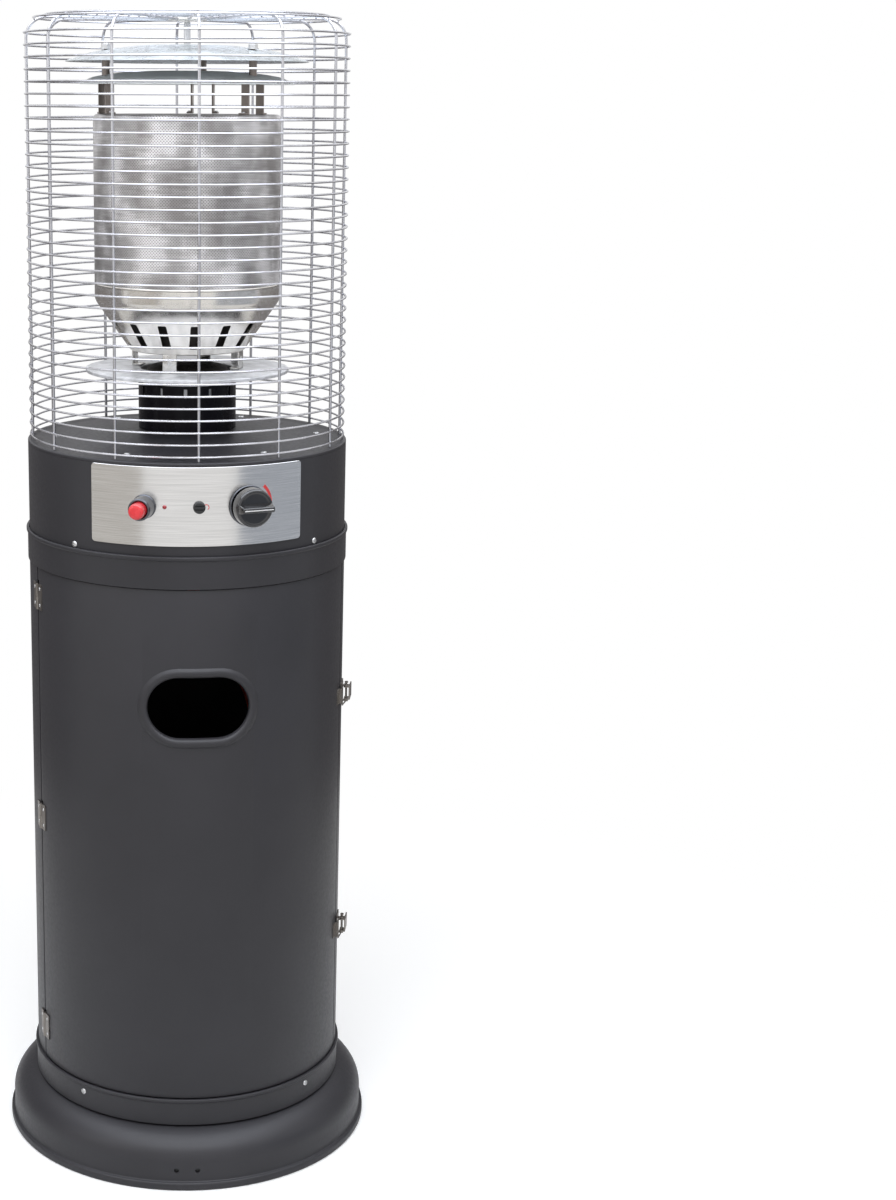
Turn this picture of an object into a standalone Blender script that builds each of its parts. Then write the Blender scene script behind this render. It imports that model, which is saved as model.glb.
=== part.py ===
"""A cylindrical gas patio heater with a caged radiant emitter, modelled as separate pieces.

Metres, +Z up. The origin is on the heater's vertical axis, at the floor, and the front faces -Y.
An azimuth is measured from the front, positive towards +X, which is the viewer's right.
"""

import math

import bmesh
import bpy
from mathutils import Matrix, Vector

# Shared clearances and sheet
CLEARANCE = 0.0003           # gap between neighbouring solids that touch
SHEET = 0.0012               # sheet steel of the housing
HEAVY_SHEET = 0.0020         # sheet steel of the base and the burner's flange
OVERRUN = 0.0040             # how far a cutter runs past the face that it cuts
WELD_DISTANCE = 0.00001      # points nearer than this become one
SHARP_EDGE_ANGLE = 35.0
BORE_SLACK = 0.0006          # play between a shaft and its bore, on the radius

# Facets round a full turn
ROUND_STEPS = 40
MIDDLE_STEPS = 24
SMALL_STEPS = 12
TINY_STEPS = 8

# Base
BASE_RIM_REACH = 0.0042      # past the skirt
BASE_RIM_HEIGHT = 0.0100
BASE_RIM_CHAMFER = 0.0020
BASE_NOSE_WIDTH = 0.0495     # from the shoulder out to the skirt
BASE_SKIRT_HEIGHT = 0.0340
BASE_SHOULDER_INSET = 0.0174 # inside the housing
BASE_HEIGHT = 0.0690
BASE_FLANGE_INSET = 0.0274   # inside the housing
BASE_NOSE_STEPS = 4
BASE_HOLE_RADIUS = 0.0030
BASE_HOLE_HEIGHT = 0.0250
BASE_HOLE_AZIMUTHS = (-7.3, -0.8)

# Bottle pan
PAN_RING_RADIUS = 0.1250
PAN_RING_WIDTH = 0.0060
PAN_RING_SLOPE = 0.0030
PAN_RING_RISE = 0.0040

# Housing
BODY_RADIUS = 0.1924
LOWER_HOOP_HEIGHT = 0.0350   # from the base to the door
DOOR_HEIGHT = 0.6320
DOOR_EDGE_GAP = 0.0010       # round the door, above and below
SEAM_AZIMUTH = 72.0          # the door's two edges, left and right of the front
SEAM_FRONT_GAP = 0.0010      # from the hinge axis forward to the door's edge
SEAM_REAR_GAP = 0.0016       # from the hinge axis back to the rear shell's edge
HOOP_SHEET = 0.0015
HOOP_BEAD = 0.0016
HOOP_BEAD_HEIGHT = 0.0045
HOOP_HEIGHT = 0.0380         # of the upper hoop, from the door to its bead's top

# Hand hole in the door
HOLE_DROP = 0.1405           # from the door's top to the middle of the hole
HOLE_WIDTH = 0.1180
HOLE_HEIGHT = 0.0730
HOLE_RIM_WIDTH = 0.0105
HOLE_RIM_RISE = 0.0028
HOLE_ROUND_STEPS = 8

# Head
HEAD_INSET = 0.0004          # inside the housing
HEAD_HEIGHT = 0.1077         # from the upper hoop to the flat edge of the top plate
HEAD_EDGE_ROUND = 0.0040
HEAD_SEAT_WIDTH = 0.0160     # of the flat ring that the guard stands on
HEAD_CENTRE_RISE = 0.0120
HEAD_CENTRE_RADIUS = 0.0620
FLOOR_SHEET = 0.0015

# Control panel
PANEL_RISE = 0.0120          # above the upper hoop
PANEL_DROP = 0.0047          # below the top plate
PANEL_HALF_AZIMUTH = 38.3
PANEL_CORNER = 0.0040
PANEL_SHEET = 0.0012

# Gas knob and valve
KNOB_AZIMUTH = 17.0
KNOB_RADIUS = 0.0225
KNOB_PUSH = 0.0040
KNOB_DISC = 0.0130
KNOB_GRIP_DEPTH = 0.0120
KNOB_GRIP_WIDTH = 0.0110
KNOB_EDGE = 0.0020
KNOB_BEZEL_RADIUS = 0.0235
KNOB_BEZEL_DEPTH = 0.0030
STEM_RADIUS = 0.0040
STEM_SINK = 0.0120           # how far the stem runs into the knob
VALVE_WIDTH = 0.0340
VALVE_DEPTH = 0.0280
VALVE_HEIGHT = 0.0480
VALVE_EDGE = 0.0020
VALVE_BOSS_RADIUS = 0.0090
VALVE_BOSS_LENGTH = 0.0090
VALVE_SETBACK = 0.0030       # from the boss to the panel's outer face

# Igniter, warning lamp and slotted cap
IGNITER_AZIMUTH = -18.6
IGNITER_BEZEL_RADIUS = 0.0130
IGNITER_BEZEL_LENGTH = 0.0230
IGNITER_BEZEL_FLOOR = 0.0033
IGNITER_BEZEL_EDGE = 0.0015
IGNITER_BUTTON_RADIUS = 0.0092
IGNITER_BUTTON_FRONT = 0.0365
IGNITER_BUTTON_LENGTH = 0.0275
IGNITER_BUTTON_EDGE = 0.0022
IGNITER_NECK_RADIUS = 0.0070
IGNITER_MODULE_RADIUS = 0.0110
IGNITER_MODULE_LENGTH = 0.0420
LAMP_AZIMUTH = -11.6
LAMP_RADIUS = 0.0025
LAMP_PROUD = 0.0015
LAMP_LENGTH = 0.0100
CAP_AZIMUTH = 0.0
CAP_RADIUS = 0.0070
CAP_PROUD = 0.0045
CAP_NECK_RADIUS = 0.0045
CAP_NECK_LENGTH = 0.0120
CAP_SLOT_WIDTH = 0.0020
CAP_SLOT_DEPTH = 0.0020

# Gas pipes
PIPE_RADIUS = 0.0040
INLET_INSET = 0.0284         # inside the housing
INLET_THREAD_RADIUS = 0.0065
INLET_THREAD_LENGTH = 0.0120
INLET_HEX_RADIUS = 0.0110
INLET_HEX_HEIGHT = 0.0080
INLET_PIPE_SHARES = ((0.000, 1.000), (0.100, 0.985), (0.360, 0.760), (0.470, 0.300),
                     (0.480, -0.120), (0.440, -0.480), (0.350, -0.740))
INLET_PIPE_RISE = 0.0300     # above the head's floor
SUPPLY_PIPE_SHARES = ((0.800, 0.800), (0.520, 0.520), (0.240, 0.240), (0.080, 0.080))
SUPPLY_PIPE_RISE = 0.0150    # above the valve's middle
PIPE_STEPS = 3               # in each span of a pipe's route, between its points

# Burner
COLLAR_RADIUS = 0.0586
COLLAR_WALL = 0.0020
COLLAR_HEIGHT = 0.0550
NECK_RADIUS = 0.0575
NECK_HEIGHT = 0.0165
FLANGE_RADIUS = 0.1217
BURNER_RADIUS = 0.0500
BURNER_CROWN_RISE = 0.0060   # above the flange
BURNER_CROWN_SHARES = ((0.60, 0.80), (0.92, 0.20), (1.00, -0.90))
BURNER_HEAD_DEPTH = 0.0320
BURNER_STEM_RADIUS = 0.0140
BURNER_STEM_DEPTH = 0.0250   # below the top plate
BURNER_FOOT_RADIUS = 0.0280
BURNER_FOOT_HEIGHT = 0.0030

# Pilot flame with its spark electrode and its flame sensor
PILOT_AZIMUTH = 113.0
PILOT_PLATE_WIDTH = 0.0240
PILOT_PLATE_HEIGHT = 0.0140
PILOT_PLATE_SHEET = 0.0015
PILOT_ROD_RADIUS = 0.0018
PILOT_ROD_SPREAD = 0.0080
PILOT_ROD_RISE = 0.0060      # above the plate
PILOT_TIP_REACH = 0.0090
PILOT_RADIUS_FROM_AXIS = 0.0670

# Flame cone
CONE_LEG_HEIGHT = 0.0215
CONE_LEG_WIDTH = 0.0170
CONE_LEG_FIRST_AZIMUTH = -22.0
CONE_LEG_COUNT = 4
CONE_BOTTOM_RADIUS = 0.0686
CONE_TOP_RADIUS = 0.1100
CONE_RISE = 0.0590
CONE_BAND_HEIGHT = 0.0175
CONE_SLOT_COUNT = 15
CONE_SLOT_FIRST_AZIMUTH = 1.6
CONE_SLOT_WIDTH = 0.0095
CONE_SLOT_BOTTOM = 0.0085    # above the cone's lower rim
CONE_SLOT_HEIGHT = 0.0260

# Emitter
EMITTER_HEIGHT = 0.1963
EMITTER_SHEET = 0.0010
EMITTER_SHOULDER = 0.0040

# Reflectors, their posts, spacers and nuts
POST_FIRST_AZIMUTH = -75.0
POST_COUNT = 3
POST_INSET = 0.0115          # from the outside of the cone's top to the middle of a post
POST_HEIGHT = 0.0409
POST_WIDTH = 0.0280
POST_DEPTH = 0.0110
POST_FOOT = 0.0050
LOWER_REFLECTOR_REACH = 0.0153  # past the cone's top
LOWER_REFLECTOR_LIP = 0.0070
LOWER_REFLECTOR_FLARE = 0.0150  # the width of its sloping edge
LOWER_REFLECTOR_CROWN = 0.0075
UPPER_REFLECTOR_REACH = 0.0314  # past the cone's top
UPPER_REFLECTOR_CROWN = 0.0190
REFLECTOR_GAP = 0.0179       # between the two rims
REFLECTOR_CROWN_SHARES = ((0.00, 1.00), (0.40, 0.93), (0.78, 0.55), (1.00, 0.00))
SPACER_RADIUS = 0.0045
STUD_RADIUS = 0.0025
STUD_LENGTH = 0.0060
CAP_NUT_RADIUS = 0.0050
CAP_NUT_HEIGHT = 0.0065
CAP_NUT_DOME = 0.0030

# Guard
GUARD_INSET = 0.0040         # from the head's outside to the middle of the wires
GUARD_RING_RADIUS = 0.00135  # of a ring's own wire
GUARD_UPRIGHT_RADIUS = 0.00180
GUARD_SIDES = ("front", "right", "rear", "left")  # a quarter each
GUARD_UPRIGHTS = 12
GUARD_RING_COUNT = 9         # the rings of the upright wall that carry its shape
GUARD_HEADROOM = 0.0296      # from the upper reflector's crown to the middle of the top's wires
GUARD_CORNER = 0.0240
GUARD_CORNER_STEPS = 2
GUARD_HUB_RADIUS = 0.0210
GUARD_PLATE_RADIUS = 0.0250
GUARD_PLATE_SHEET = 0.0015
ROD_RADIUS = 0.0040
ROD_STUD_RADIUS = 0.0030
GUARD_NUT_RADIUS = 0.0060
GUARD_NUT_HEIGHT = 0.0070
GUARD_STUD_PROUD = 0.0015

# Door hinges, which lift off their pins
HINGE_TOP_INSET = 0.0350     # from the door's top to the middle of the top hinge
HINGE_BOTTOM_INSET = 0.0420  # from the door's bottom to the middle of the bottom hinge
HINGE_LENGTH = 0.0320
HINGE_BARREL_RADIUS = 0.0032
HINGE_PIN_RADIUS = 0.0017
HINGE_PIN_SHARE = 0.80
HINGE_LEAF_WIDTH = 0.0100
HINGE_LEAF_SHEET = 0.0015

# Draw latches
LATCH_TOP_INSET = 0.1660     # from the door's top to the middle of the upper latch
LATCH_BOTTOM_INSET = 0.1600  # from the door's bottom to the middle of the lower latch
LATCH_BASE_LENGTH = 0.0240
LATCH_BASE_HEIGHT = 0.0260
LATCH_SHEET = 0.0015
LATCH_PIVOT_ALONG = -0.0050  # from the middle of the base towards the rear
LATCH_PIVOT_OUT = 0.0070     # from the shell
LATCH_BASE_AHEAD = 0.0060    # of the base in front of the pivot
LATCH_EAR_REACH = 0.0022     # round the pivot
LATCH_EAR_SPREAD = 0.0105    # from the middle to an ear's outer face
LATCH_PIN_RADIUS = 0.0011
LATCH_LINK = 0.0060          # from the lever's pivot to the bail's
LATCH_LEVER_WIDTH = 0.0170
LATCH_LEVER_LENGTH = 0.0210
LATCH_LEVER_NOSE = 0.0028
LATCH_LEVER_OUT = 0.0035     # from the pivot to the lever's plate
LATCH_BAIL_SPREAD = 0.0118
LATCH_BAIL_WIRE_RADIUS = 0.0009
LATCH_BAIL_REACH = 0.0215
LATCH_BAIL_DROP = 0.0028
LATCH_EYE_RADIUS = 0.0022
LATCH_CHEEK_DROP = 0.0025    # of the lever's cheeks past the pivot, towards the shell
LATCH_CHEEK_REACH = 0.0085   # of the cheeks behind the pivot
KEEPER_HEIGHT = 0.0190
KEEPER_LIP_SHEET = 0.0012
KEEPER_LIP_GAP = 0.0010
KEEPER_LIP_RISE = 0.0004     # past the middle of the bail's wire
KEEPER_LENGTH = 0.0070

# Gas hose, its nuts and the regulator
HOSE_RADIUS = 0.0075
HOSE_ROUND_STEPS = 2
HOSE_STEPS = 2               # in each span of the hose's route, between its points
HOSE_NUT_RADIUS = 0.0120
HOSE_NUT_HEIGHT = 0.0180
FERRULE_RADIUS = 0.0085
FERRULE_LENGTH = 0.0140
REGULATOR_RADIUS = 0.0350
REGULATOR_RIM = 0.0070
REGULATOR_CONE_RISE = 0.0080
REGULATOR_CAP_RADIUS = 0.0150
REGULATOR_CAP_RISE = 0.0080
REGULATOR_BOWL_RADIUS = 0.0220
REGULATOR_BOWL_SHOULDER = 0.0300
REGULATOR_BOWL_EDGE = 0.0060
REGULATOR_PORT_HEX_RADIUS = 0.0110
REGULATOR_PORT_HEX_LENGTH = 0.0180
REGULATOR_PLACE_SHARES = (-0.7380, 0.0104)  # of the housing's radius
BOTTLE_NUT_RADIUS = 0.0160
BOTTLE_NUT_LENGTH = 0.0280
BOTTLE_NIPPLE_RADIUS = 0.0080
BOTTLE_NIPPLE_LENGTH = 0.0090
HOSE_LEAD = 0.0149           # straight, at each end of the hose
# The hose's route between its straight ends, chosen by hand: across and back as shares of the
# housing's radius, and up as a share of the way from the regulator to the end of the top lead
HOSE_ROUTE_SHARES = (
    (0.000, 0.8524, 1.000), (0.021, 0.8576, 0.940), (0.187, 0.8654, 0.837),
    (0.421, 0.8160, 0.710), (0.525, 0.7588, 0.615), (0.541, 0.7484, 0.520),
    (0.499, 0.7744, 0.401), (0.379, 0.8264, 0.267), (0.172, 0.8784, 0.140),
    (-0.094, 0.8732, 0.048), (-0.322, 0.8108, 0.009), (-0.520, 0.6965, 0.000),
    (-0.670, 0.5665, 0.000), (-0.738, 0.4366, 0.000),
)

# Surface finishes: colour, metallic, roughness
FINISHES = {
    "charcoal": ((0.050, 0.050, 0.053), 0.55, 0.42),
    "stainless": ((0.62, 0.61, 0.59), 1.00, 0.28),
    "zinc": ((0.60, 0.61, 0.62), 1.00, 0.32),
    "mesh": ((0.30, 0.27, 0.24), 0.90, 0.50),
    "black": ((0.012, 0.012, 0.014), 0.00, 0.20),
    "iron": ((0.035, 0.032, 0.030), 0.60, 0.70),
    "red": ((0.62, 0.04, 0.06), 0.00, 0.30),
    "brass": ((0.62, 0.42, 0.16), 1.00, 0.32),
    "hose": ((0.80, 0.11, 0.08), 0.00, 0.45),
}

# Heights that follow from the sizes above
PAN_TOP = BASE_HEIGHT + CLEARANCE + HEAVY_SHEET
SHELL_BOTTOM = PAN_TOP + CLEARANCE
DOOR_BOTTOM = BASE_HEIGHT + LOWER_HOOP_HEIGHT
DOOR_TOP = DOOR_BOTTOM + DOOR_HEIGHT
HOLE_HEIGHT_CENTRE = DOOR_TOP - HOLE_DROP
HINGE_TOP = DOOR_TOP - HINGE_TOP_INSET
HINGE_BOTTOM = DOOR_BOTTOM + HINGE_BOTTOM_INSET
HINGE_HEIGHTS = (HINGE_TOP, (HINGE_TOP + HINGE_BOTTOM) / 2, HINGE_BOTTOM)
LATCH_HEIGHTS = (DOOR_TOP - LATCH_TOP_INSET, DOOR_BOTTOM + LATCH_BOTTOM_INSET)
BEAD_TOP = DOOR_TOP + DOOR_EDGE_GAP + HOOP_HEIGHT
FLOOR_BOTTOM = BEAD_TOP - HOOP_BEAD_HEIGHT
FLOOR_TOP = FLOOR_BOTTOM + FLOOR_SHEET
SHELL_TOP = FLOOR_BOTTOM - CLEARANCE
HEAD_BOTTOM = FLOOR_TOP + CLEARANCE
HEAD_RIM_HEIGHT = BEAD_TOP + HEAD_HEIGHT
PANEL_BOTTOM = BEAD_TOP + PANEL_RISE
PANEL_TOP = HEAD_RIM_HEIGHT - PANEL_DROP
CONTROL_HEIGHT = (PANEL_BOTTOM + PANEL_TOP) / 2
HEAD_EDGE_BOTTOM = HEAD_RIM_HEIGHT - HEAD_EDGE_ROUND
HEAD_CENTRE_TOP = HEAD_RIM_HEIGHT + HEAD_CENTRE_RISE
COLLAR_BOTTOM = HEAD_CENTRE_TOP + CLEARANCE
COLLAR_TOP = COLLAR_BOTTOM + COLLAR_HEIGHT
NECK_BOTTOM = COLLAR_TOP + CLEARANCE
FLANGE_TOP = NECK_BOTTOM + NECK_HEIGHT
CONE_FOOT = FLANGE_TOP + CLEARANCE
CONE_BOTTOM = CONE_FOOT + CONE_LEG_HEIGHT
CONE_EDGE = CONE_BOTTOM + CONE_RISE
CONE_TOP = CONE_EDGE + CONE_BAND_HEIGHT
EMITTER_BOTTOM = CONE_TOP + CLEARANCE
EMITTER_TOP = EMITTER_BOTTOM + EMITTER_HEIGHT
POST_BOTTOM = EMITTER_TOP + CLEARANCE
POST_TOP = POST_BOTTOM + POST_HEIGHT

# Radii that follow
BASE_FLANGE_RADIUS = BODY_RADIUS - BASE_FLANGE_INSET
BASE_SHOULDER_RADIUS = BODY_RADIUS - BASE_SHOULDER_INSET
BASE_SKIRT_RADIUS = BASE_SHOULDER_RADIUS + BASE_NOSE_WIDTH
BASE_RIM_RADIUS = BASE_SKIRT_RADIUS + BASE_RIM_REACH
INLET_RADIUS_FROM_AXIS = BODY_RADIUS - INLET_INSET
HEAD_RADIUS = BODY_RADIUS - HEAD_INSET
GUARD_RADIUS = HEAD_RADIUS - GUARD_INSET
POST_RADIUS_FROM_AXIS = CONE_TOP_RADIUS - POST_INSET
LOWER_REFLECTOR_RADIUS = CONE_TOP_RADIUS + LOWER_REFLECTOR_REACH
UPPER_REFLECTOR_RADIUS = CONE_TOP_RADIUS + UPPER_REFLECTOR_REACH
BODY_INSIDE = BODY_RADIUS - SHEET
HOOP_INSIDE = BODY_RADIUS + CLEARANCE
HOOP_OUTSIDE = HOOP_INSIDE + HOOP_SHEET
HEAD_INSIDE = HEAD_RADIUS - SHEET
PANEL_INSIDE = HEAD_RADIUS + CLEARANCE
PANEL_RADIUS = PANEL_INSIDE + PANEL_SHEET
SEAM = math.radians(SEAM_AZIMUTH)
HINGE_PLACE = Vector((-BODY_RADIUS * math.sin(SEAM), -BODY_RADIUS * math.cos(SEAM), 0))
FACET = 2 * math.pi / ROUND_STEPS
FACET_RADIUS = BODY_RADIUS * math.cos(FACET / 2)     # to the middle of a facet of the housing

X_AXIS = Vector((1, 0, 0))
Y_AXIS = Vector((0, 1, 0))
Z_AXIS = Vector((0, 0, 1))
OUTWARD = math.pi / 2        # tilt that turns a piece's +Z to point out of the front


def clear_scene():
    for item in list(bpy.data.objects):
        bpy.data.objects.remove(item)


def new_collection(name):
    collection = bpy.data.collections.new(name)
    bpy.context.scene.collection.children.link(collection)
    return collection


def finish(piece, kind):
    """Gives a piece its own material of one of the shared finishes."""
    colour, metallic, roughness = FINISHES[kind]
    material = bpy.data.materials.new(piece.name)
    material.use_nodes = True
    shader = material.node_tree.nodes["Principled BSDF"]
    shader.inputs["Base Color"].default_value = (*colour, 1)
    shader.inputs["Metallic"].default_value = metallic
    shader.inputs["Roughness"].default_value = roughness
    material.diffuse_color = (*colour, 1)
    piece.data.materials.clear()
    piece.data.materials.append(material)
    return piece


def make_part(piece, kind):
    """Moves a finished piece into the heater's own collection."""
    parts.objects.link(piece)
    cutters.objects.unlink(piece)
    piece.hide_render = False
    piece.display_type = "TEXTURED"
    return finish(piece, kind)


def make_tool(name, data):
    """A new object starts among the cutters, until make_part takes it out."""
    piece = bpy.data.objects.new(name, data)
    cutters.objects.link(piece)
    piece.hide_render = True
    piece.display_type = "WIRE"
    return piece


def from_bmesh(name, shape):
    bmesh.ops.recalc_face_normals(shape, faces=shape.faces)
    mesh = bpy.data.meshes.new(name)
    shape.to_mesh(mesh)
    shape.free()
    mesh.shade_smooth()
    mesh.set_sharp_from_angle(angle=math.radians(SHARP_EDGE_ANGLE))
    return make_tool(name, mesh)


def box(name, size, centre, edge=0):
    """A box with its middle at centre, its edges bevelled by edge."""
    shape = bmesh.new()
    place = Matrix.Translation(centre) @ Matrix.Diagonal((*size, 1))
    bmesh.ops.create_cube(shape, size=1, matrix=place)
    piece = from_bmesh(name, shape)
    if edge:
        bevel = piece.modifiers.new("Rounded edges", "BEVEL")
        bevel.width = edge
        bevel.segments = 1
    return piece


def rod(name, radius, start, end, sides=SMALL_STEPS, end_radius=None):
    """A round bar, or a cone, from start to end."""
    start, end = Vector(start), Vector(end)
    run = end - start
    turn = run.to_track_quat("Z", "Y").to_matrix().to_4x4()
    shape = bmesh.new()
    bmesh.ops.create_cone(
        shape, cap_ends=True, segments=sides, radius1=radius,
        radius2=radius if end_radius is None else end_radius, depth=run.length,
        matrix=Matrix.Translation((start + end) / 2) @ turn)
    return from_bmesh(name, shape)


def turned(name, profile, steps=ROUND_STEPS):
    """Turns a profile of (radius, height) points, listed down its outer side, round the Z axis.

    A profile that starts and ends on the axis makes a solid, and any other is closed to a ring.
    """
    mesh = bpy.data.meshes.new(name)
    count = len(profile)
    edges = [(i, i + 1) for i in range(count - 1)]
    if profile[0][0] > 0:
        edges.append((count - 1, 0))
    mesh.from_pydata([(radius, 0, height) for radius, height in profile], edges, [])
    return turn_round(make_tool(name, mesh), steps)


def turn_round(piece, steps):
    screw = piece.modifiers.new("Turned", "SCREW")
    screw.steps = steps
    screw.render_steps = steps
    screw.use_merge_vertices = True
    screw.merge_threshold = WELD_DISTANCE
    screw.use_smooth_shade = True
    return piece


def tubes(name, runs, radius, resolution=1):
    """Round tubes with filled ends, one through each list of points, as one curve."""
    curve = bpy.data.curves.new(name, "CURVE")
    curve.dimensions = "3D"
    for points in runs:
        spline = curve.splines.new("POLY")
        spline.points.add(len(points) - 1)
        for knot, point in zip(spline.points, points):
            knot.co = (*point, 1)
    curve.bevel_depth = radius
    curve.bevel_resolution = resolution
    curve.use_fill_caps = True
    return make_tool(name, curve)


def tube(name, points, radius, resolution=1):
    return tubes(name, [points], radius, resolution)


def plate(name, outline, thickness):
    """A flat outline in X and Z with its thickness along Y, as a curve."""
    curve = bpy.data.curves.new(name, "CURVE")
    curve.dimensions = "2D"
    curve.fill_mode = "BOTH"
    curve.extrude = thickness / 2
    spline = curve.splines.new("POLY")
    spline.points.add(len(outline) - 1)
    for knot, (across, up) in zip(spline.points, outline):
        knot.co = (across, up, 0, 1)
    spline.use_cyclic_u = True
    piece = make_tool(name, curve)
    piece.rotation_euler = (OUTWARD, 0, 0)
    return piece


def to_mesh(curve_piece):
    """Replaces a curve by a mesh with welded caps, which Booleans can use."""
    bpy.context.view_layer.update()
    name = curve_piece.name
    matrix = curve_piece.matrix_world.copy()
    evaluated = curve_piece.evaluated_get(bpy.context.evaluated_depsgraph_get())
    mesh = bpy.data.meshes.new_from_object(evaluated)
    shape = bmesh.new()
    shape.from_mesh(mesh)
    bmesh.ops.remove_doubles(shape, verts=shape.verts, dist=WELD_DISTANCE)
    shape.transform(matrix)
    bpy.data.objects.remove(curve_piece)
    piece = from_bmesh(name, shape)
    piece.name = name
    return piece


def apply_boolean(piece, others, operation):
    """Joins others to a piece, or cuts them out of it. They follow the piece where it is placed."""
    for other in others:
        if other.parent is None and other is not piece:
            other.parent = piece
        step = piece.modifiers.new(operation.title(), "BOOLEAN")
        step.operation = operation
        step.solver = "EXACT"
        step.object = other
    return piece


def join(piece, *others):
    return apply_boolean(piece, others, "UNION")


def cut(piece, *others):
    return apply_boolean(piece, others, "DIFFERENCE")


def trim(piece, *others):
    return apply_boolean(piece, others, "INTERSECT")


def around(azimuth, radius, height=0):
    """The point at an azimuth in degrees, a radius from the axis and a height."""
    angle = math.radians(azimuth)
    return Vector((radius * math.sin(angle), -radius * math.cos(angle), height))


def stand(piece, azimuth, radius=0, height=0, tilt=0):
    """Places a piece, which was made facing the front, at an azimuth round the axis."""
    piece.location = around(azimuth, radius, height)
    piece.rotation_euler = (tilt, 0, math.radians(azimuth))
    return piece


def empty(name, location, azimuth=0):
    """An empty on a joint's axis, turned to face outwards at its azimuth."""
    marker = bpy.data.objects.new(name, None)
    marker.empty_display_size = BODY_RADIUS / 4
    marker.location = location
    marker.rotation_euler = (0, 0, math.radians(azimuth))
    parts.objects.link(marker)
    return marker


def hang(piece, marker):
    """Parents a piece to an empty and leaves it where it is."""
    turn = marker.rotation_euler.to_matrix().to_4x4()
    piece.parent = marker
    piece.matrix_parent_inverse = (Matrix.Translation(marker.location) @ turn).inverted()
    return piece


def smooth_points(route, between):
    """Points on a smooth curve through a route's own points, between more in each span."""
    knots = [Vector(point) for point in route]
    knots = [2 * knots[0] - knots[1], *knots, 2 * knots[-1] - knots[-2]]
    points = []
    for before, start, end, after in zip(knots, knots[1:], knots[2:], knots[3:]):
        for step in range(between + 1):
            t = step / (between + 1)
            points.append(
                start + (end - before) * t / 2
                + (2 * before - 5 * start + 4 * end - after) * t**2 / 2
                + (3 * start - before - 3 * end + after) * t**3 / 2)
    return [*points, knots[-2]]


def arc(centre, radii, first, last, steps):
    """Points of (radius, height) along an elliptical arc, its angles in degrees from +X."""
    points = []
    for step in range(steps + 1):
        angle = math.radians(first + (last - first) * step / steps)
        points.append((centre[0] + radii[0] * math.cos(angle), centre[1] + radii[1] * math.sin(angle)))
    return points


def slot_outline(width, height, steps):
    """A slot with round ends, lying along X."""
    radius = height / 2
    reach = width / 2 - radius
    return (arc((reach, 0), (radius, radius), -90, 90, steps)
            + arc((-reach, 0), (radius, radius), 90, 270, steps))


def rounded_outline(width, height, corner):
    """A rectangle with cut corners."""
    across, up = width / 2, height / 2
    corners = ((1, 1), (-1, 1), (-1, -1), (1, -1))
    points = []
    for number, (x, z) in enumerate(corners):
        ends = [(x * across, z * (up - corner)), (x * (across - corner), z * up)]
        points += ends if number % 2 == 0 else ends[::-1]
    return points


def make_base():
    """The pressed base ring, open below, with a rolled rim and a rounded shoulder."""
    nose = (BASE_SKIRT_RADIUS - BASE_SHOULDER_RADIUS, BASE_HEIGHT - BASE_SKIRT_HEIGHT)
    inner_nose = (nose[0] - HEAVY_SHEET, nose[1] - HEAVY_SHEET)
    centre = (BASE_SHOULDER_RADIUS, BASE_SKIRT_HEIGHT)
    skirt_inside = BASE_SKIRT_RADIUS - HEAVY_SHEET
    profile = [(BASE_FLANGE_RADIUS, BASE_HEIGHT)]
    profile += arc(centre, nose, 90, 0, BASE_NOSE_STEPS)
    profile += [
        (BASE_SKIRT_RADIUS, BASE_RIM_HEIGHT),
        (BASE_RIM_RADIUS - BASE_RIM_CHAMFER, BASE_RIM_HEIGHT),
        (BASE_RIM_RADIUS, BASE_RIM_HEIGHT - BASE_RIM_CHAMFER),
        (BASE_RIM_RADIUS, 0),
        (skirt_inside, 0),
    ]
    profile += arc(centre, inner_nose, 0, 90, BASE_NOSE_STEPS)
    profile += [(BASE_FLANGE_RADIUS, BASE_HEIGHT - HEAVY_SHEET)]
    ring = turned("base_ring", profile)
    for number, azimuth in enumerate(BASE_HOLE_AZIMUTHS):
        hole = rod(f"base_hole_{number}", BASE_HOLE_RADIUS,
                   around(azimuth, skirt_inside - OVERRUN, BASE_HOLE_HEIGHT),
                   around(azimuth, BASE_SKIRT_RADIUS + OVERRUN, BASE_HOLE_HEIGHT), TINY_STEPS)
        cut(ring, hole)
    make_part(ring, "charcoal")

    pan_bottom = BASE_HEIGHT + CLEARANCE
    crest = PAN_TOP + PAN_RING_RISE
    half = PAN_RING_WIDTH / 2
    pan = turned("base_pan", [
        (0, PAN_TOP),
        (PAN_RING_RADIUS - half - PAN_RING_SLOPE, PAN_TOP),
        (PAN_RING_RADIUS - half, crest),
        (PAN_RING_RADIUS + half, crest),
        (PAN_RING_RADIUS + half + PAN_RING_SLOPE, PAN_TOP),
        (BODY_RADIUS, PAN_TOP),
        (BODY_RADIUS, pan_bottom),
        (0, pan_bottom),
    ])
    make_part(pan, "charcoal")


def make_hoop(name, bottom, top):
    """A band round the housing with a bead along its upper edge."""
    bead = HOOP_OUTSIDE + HOOP_BEAD
    hoop = turned(name, [
        (HOOP_INSIDE, top),
        (bead, top),
        (bead, top - HOOP_BEAD_HEIGHT + HOOP_BEAD),
        (HOOP_OUTSIDE, top - HOOP_BEAD_HEIGHT),
        (HOOP_OUTSIDE, bottom),
        (HOOP_INSIDE, bottom),
    ])
    make_part(hoop, "charcoal")


def housing_shell(name, bottom, top):
    return turned(name, [
        (BODY_RADIUS, top), (BODY_RADIUS, bottom), (BODY_INSIDE, bottom), (BODY_INSIDE, top)])


def half_space(name, front_y, rear_y):
    """A block as wide and as tall as the housing, between two planes across Y."""
    width = 2 * (BODY_RADIUS + OVERRUN)
    height = SHELL_TOP + 2 * OVERRUN
    return box(name, (width, rear_y - front_y, height),
               (0, (front_y + rear_y) / 2, height / 2 - OVERRUN))


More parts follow.
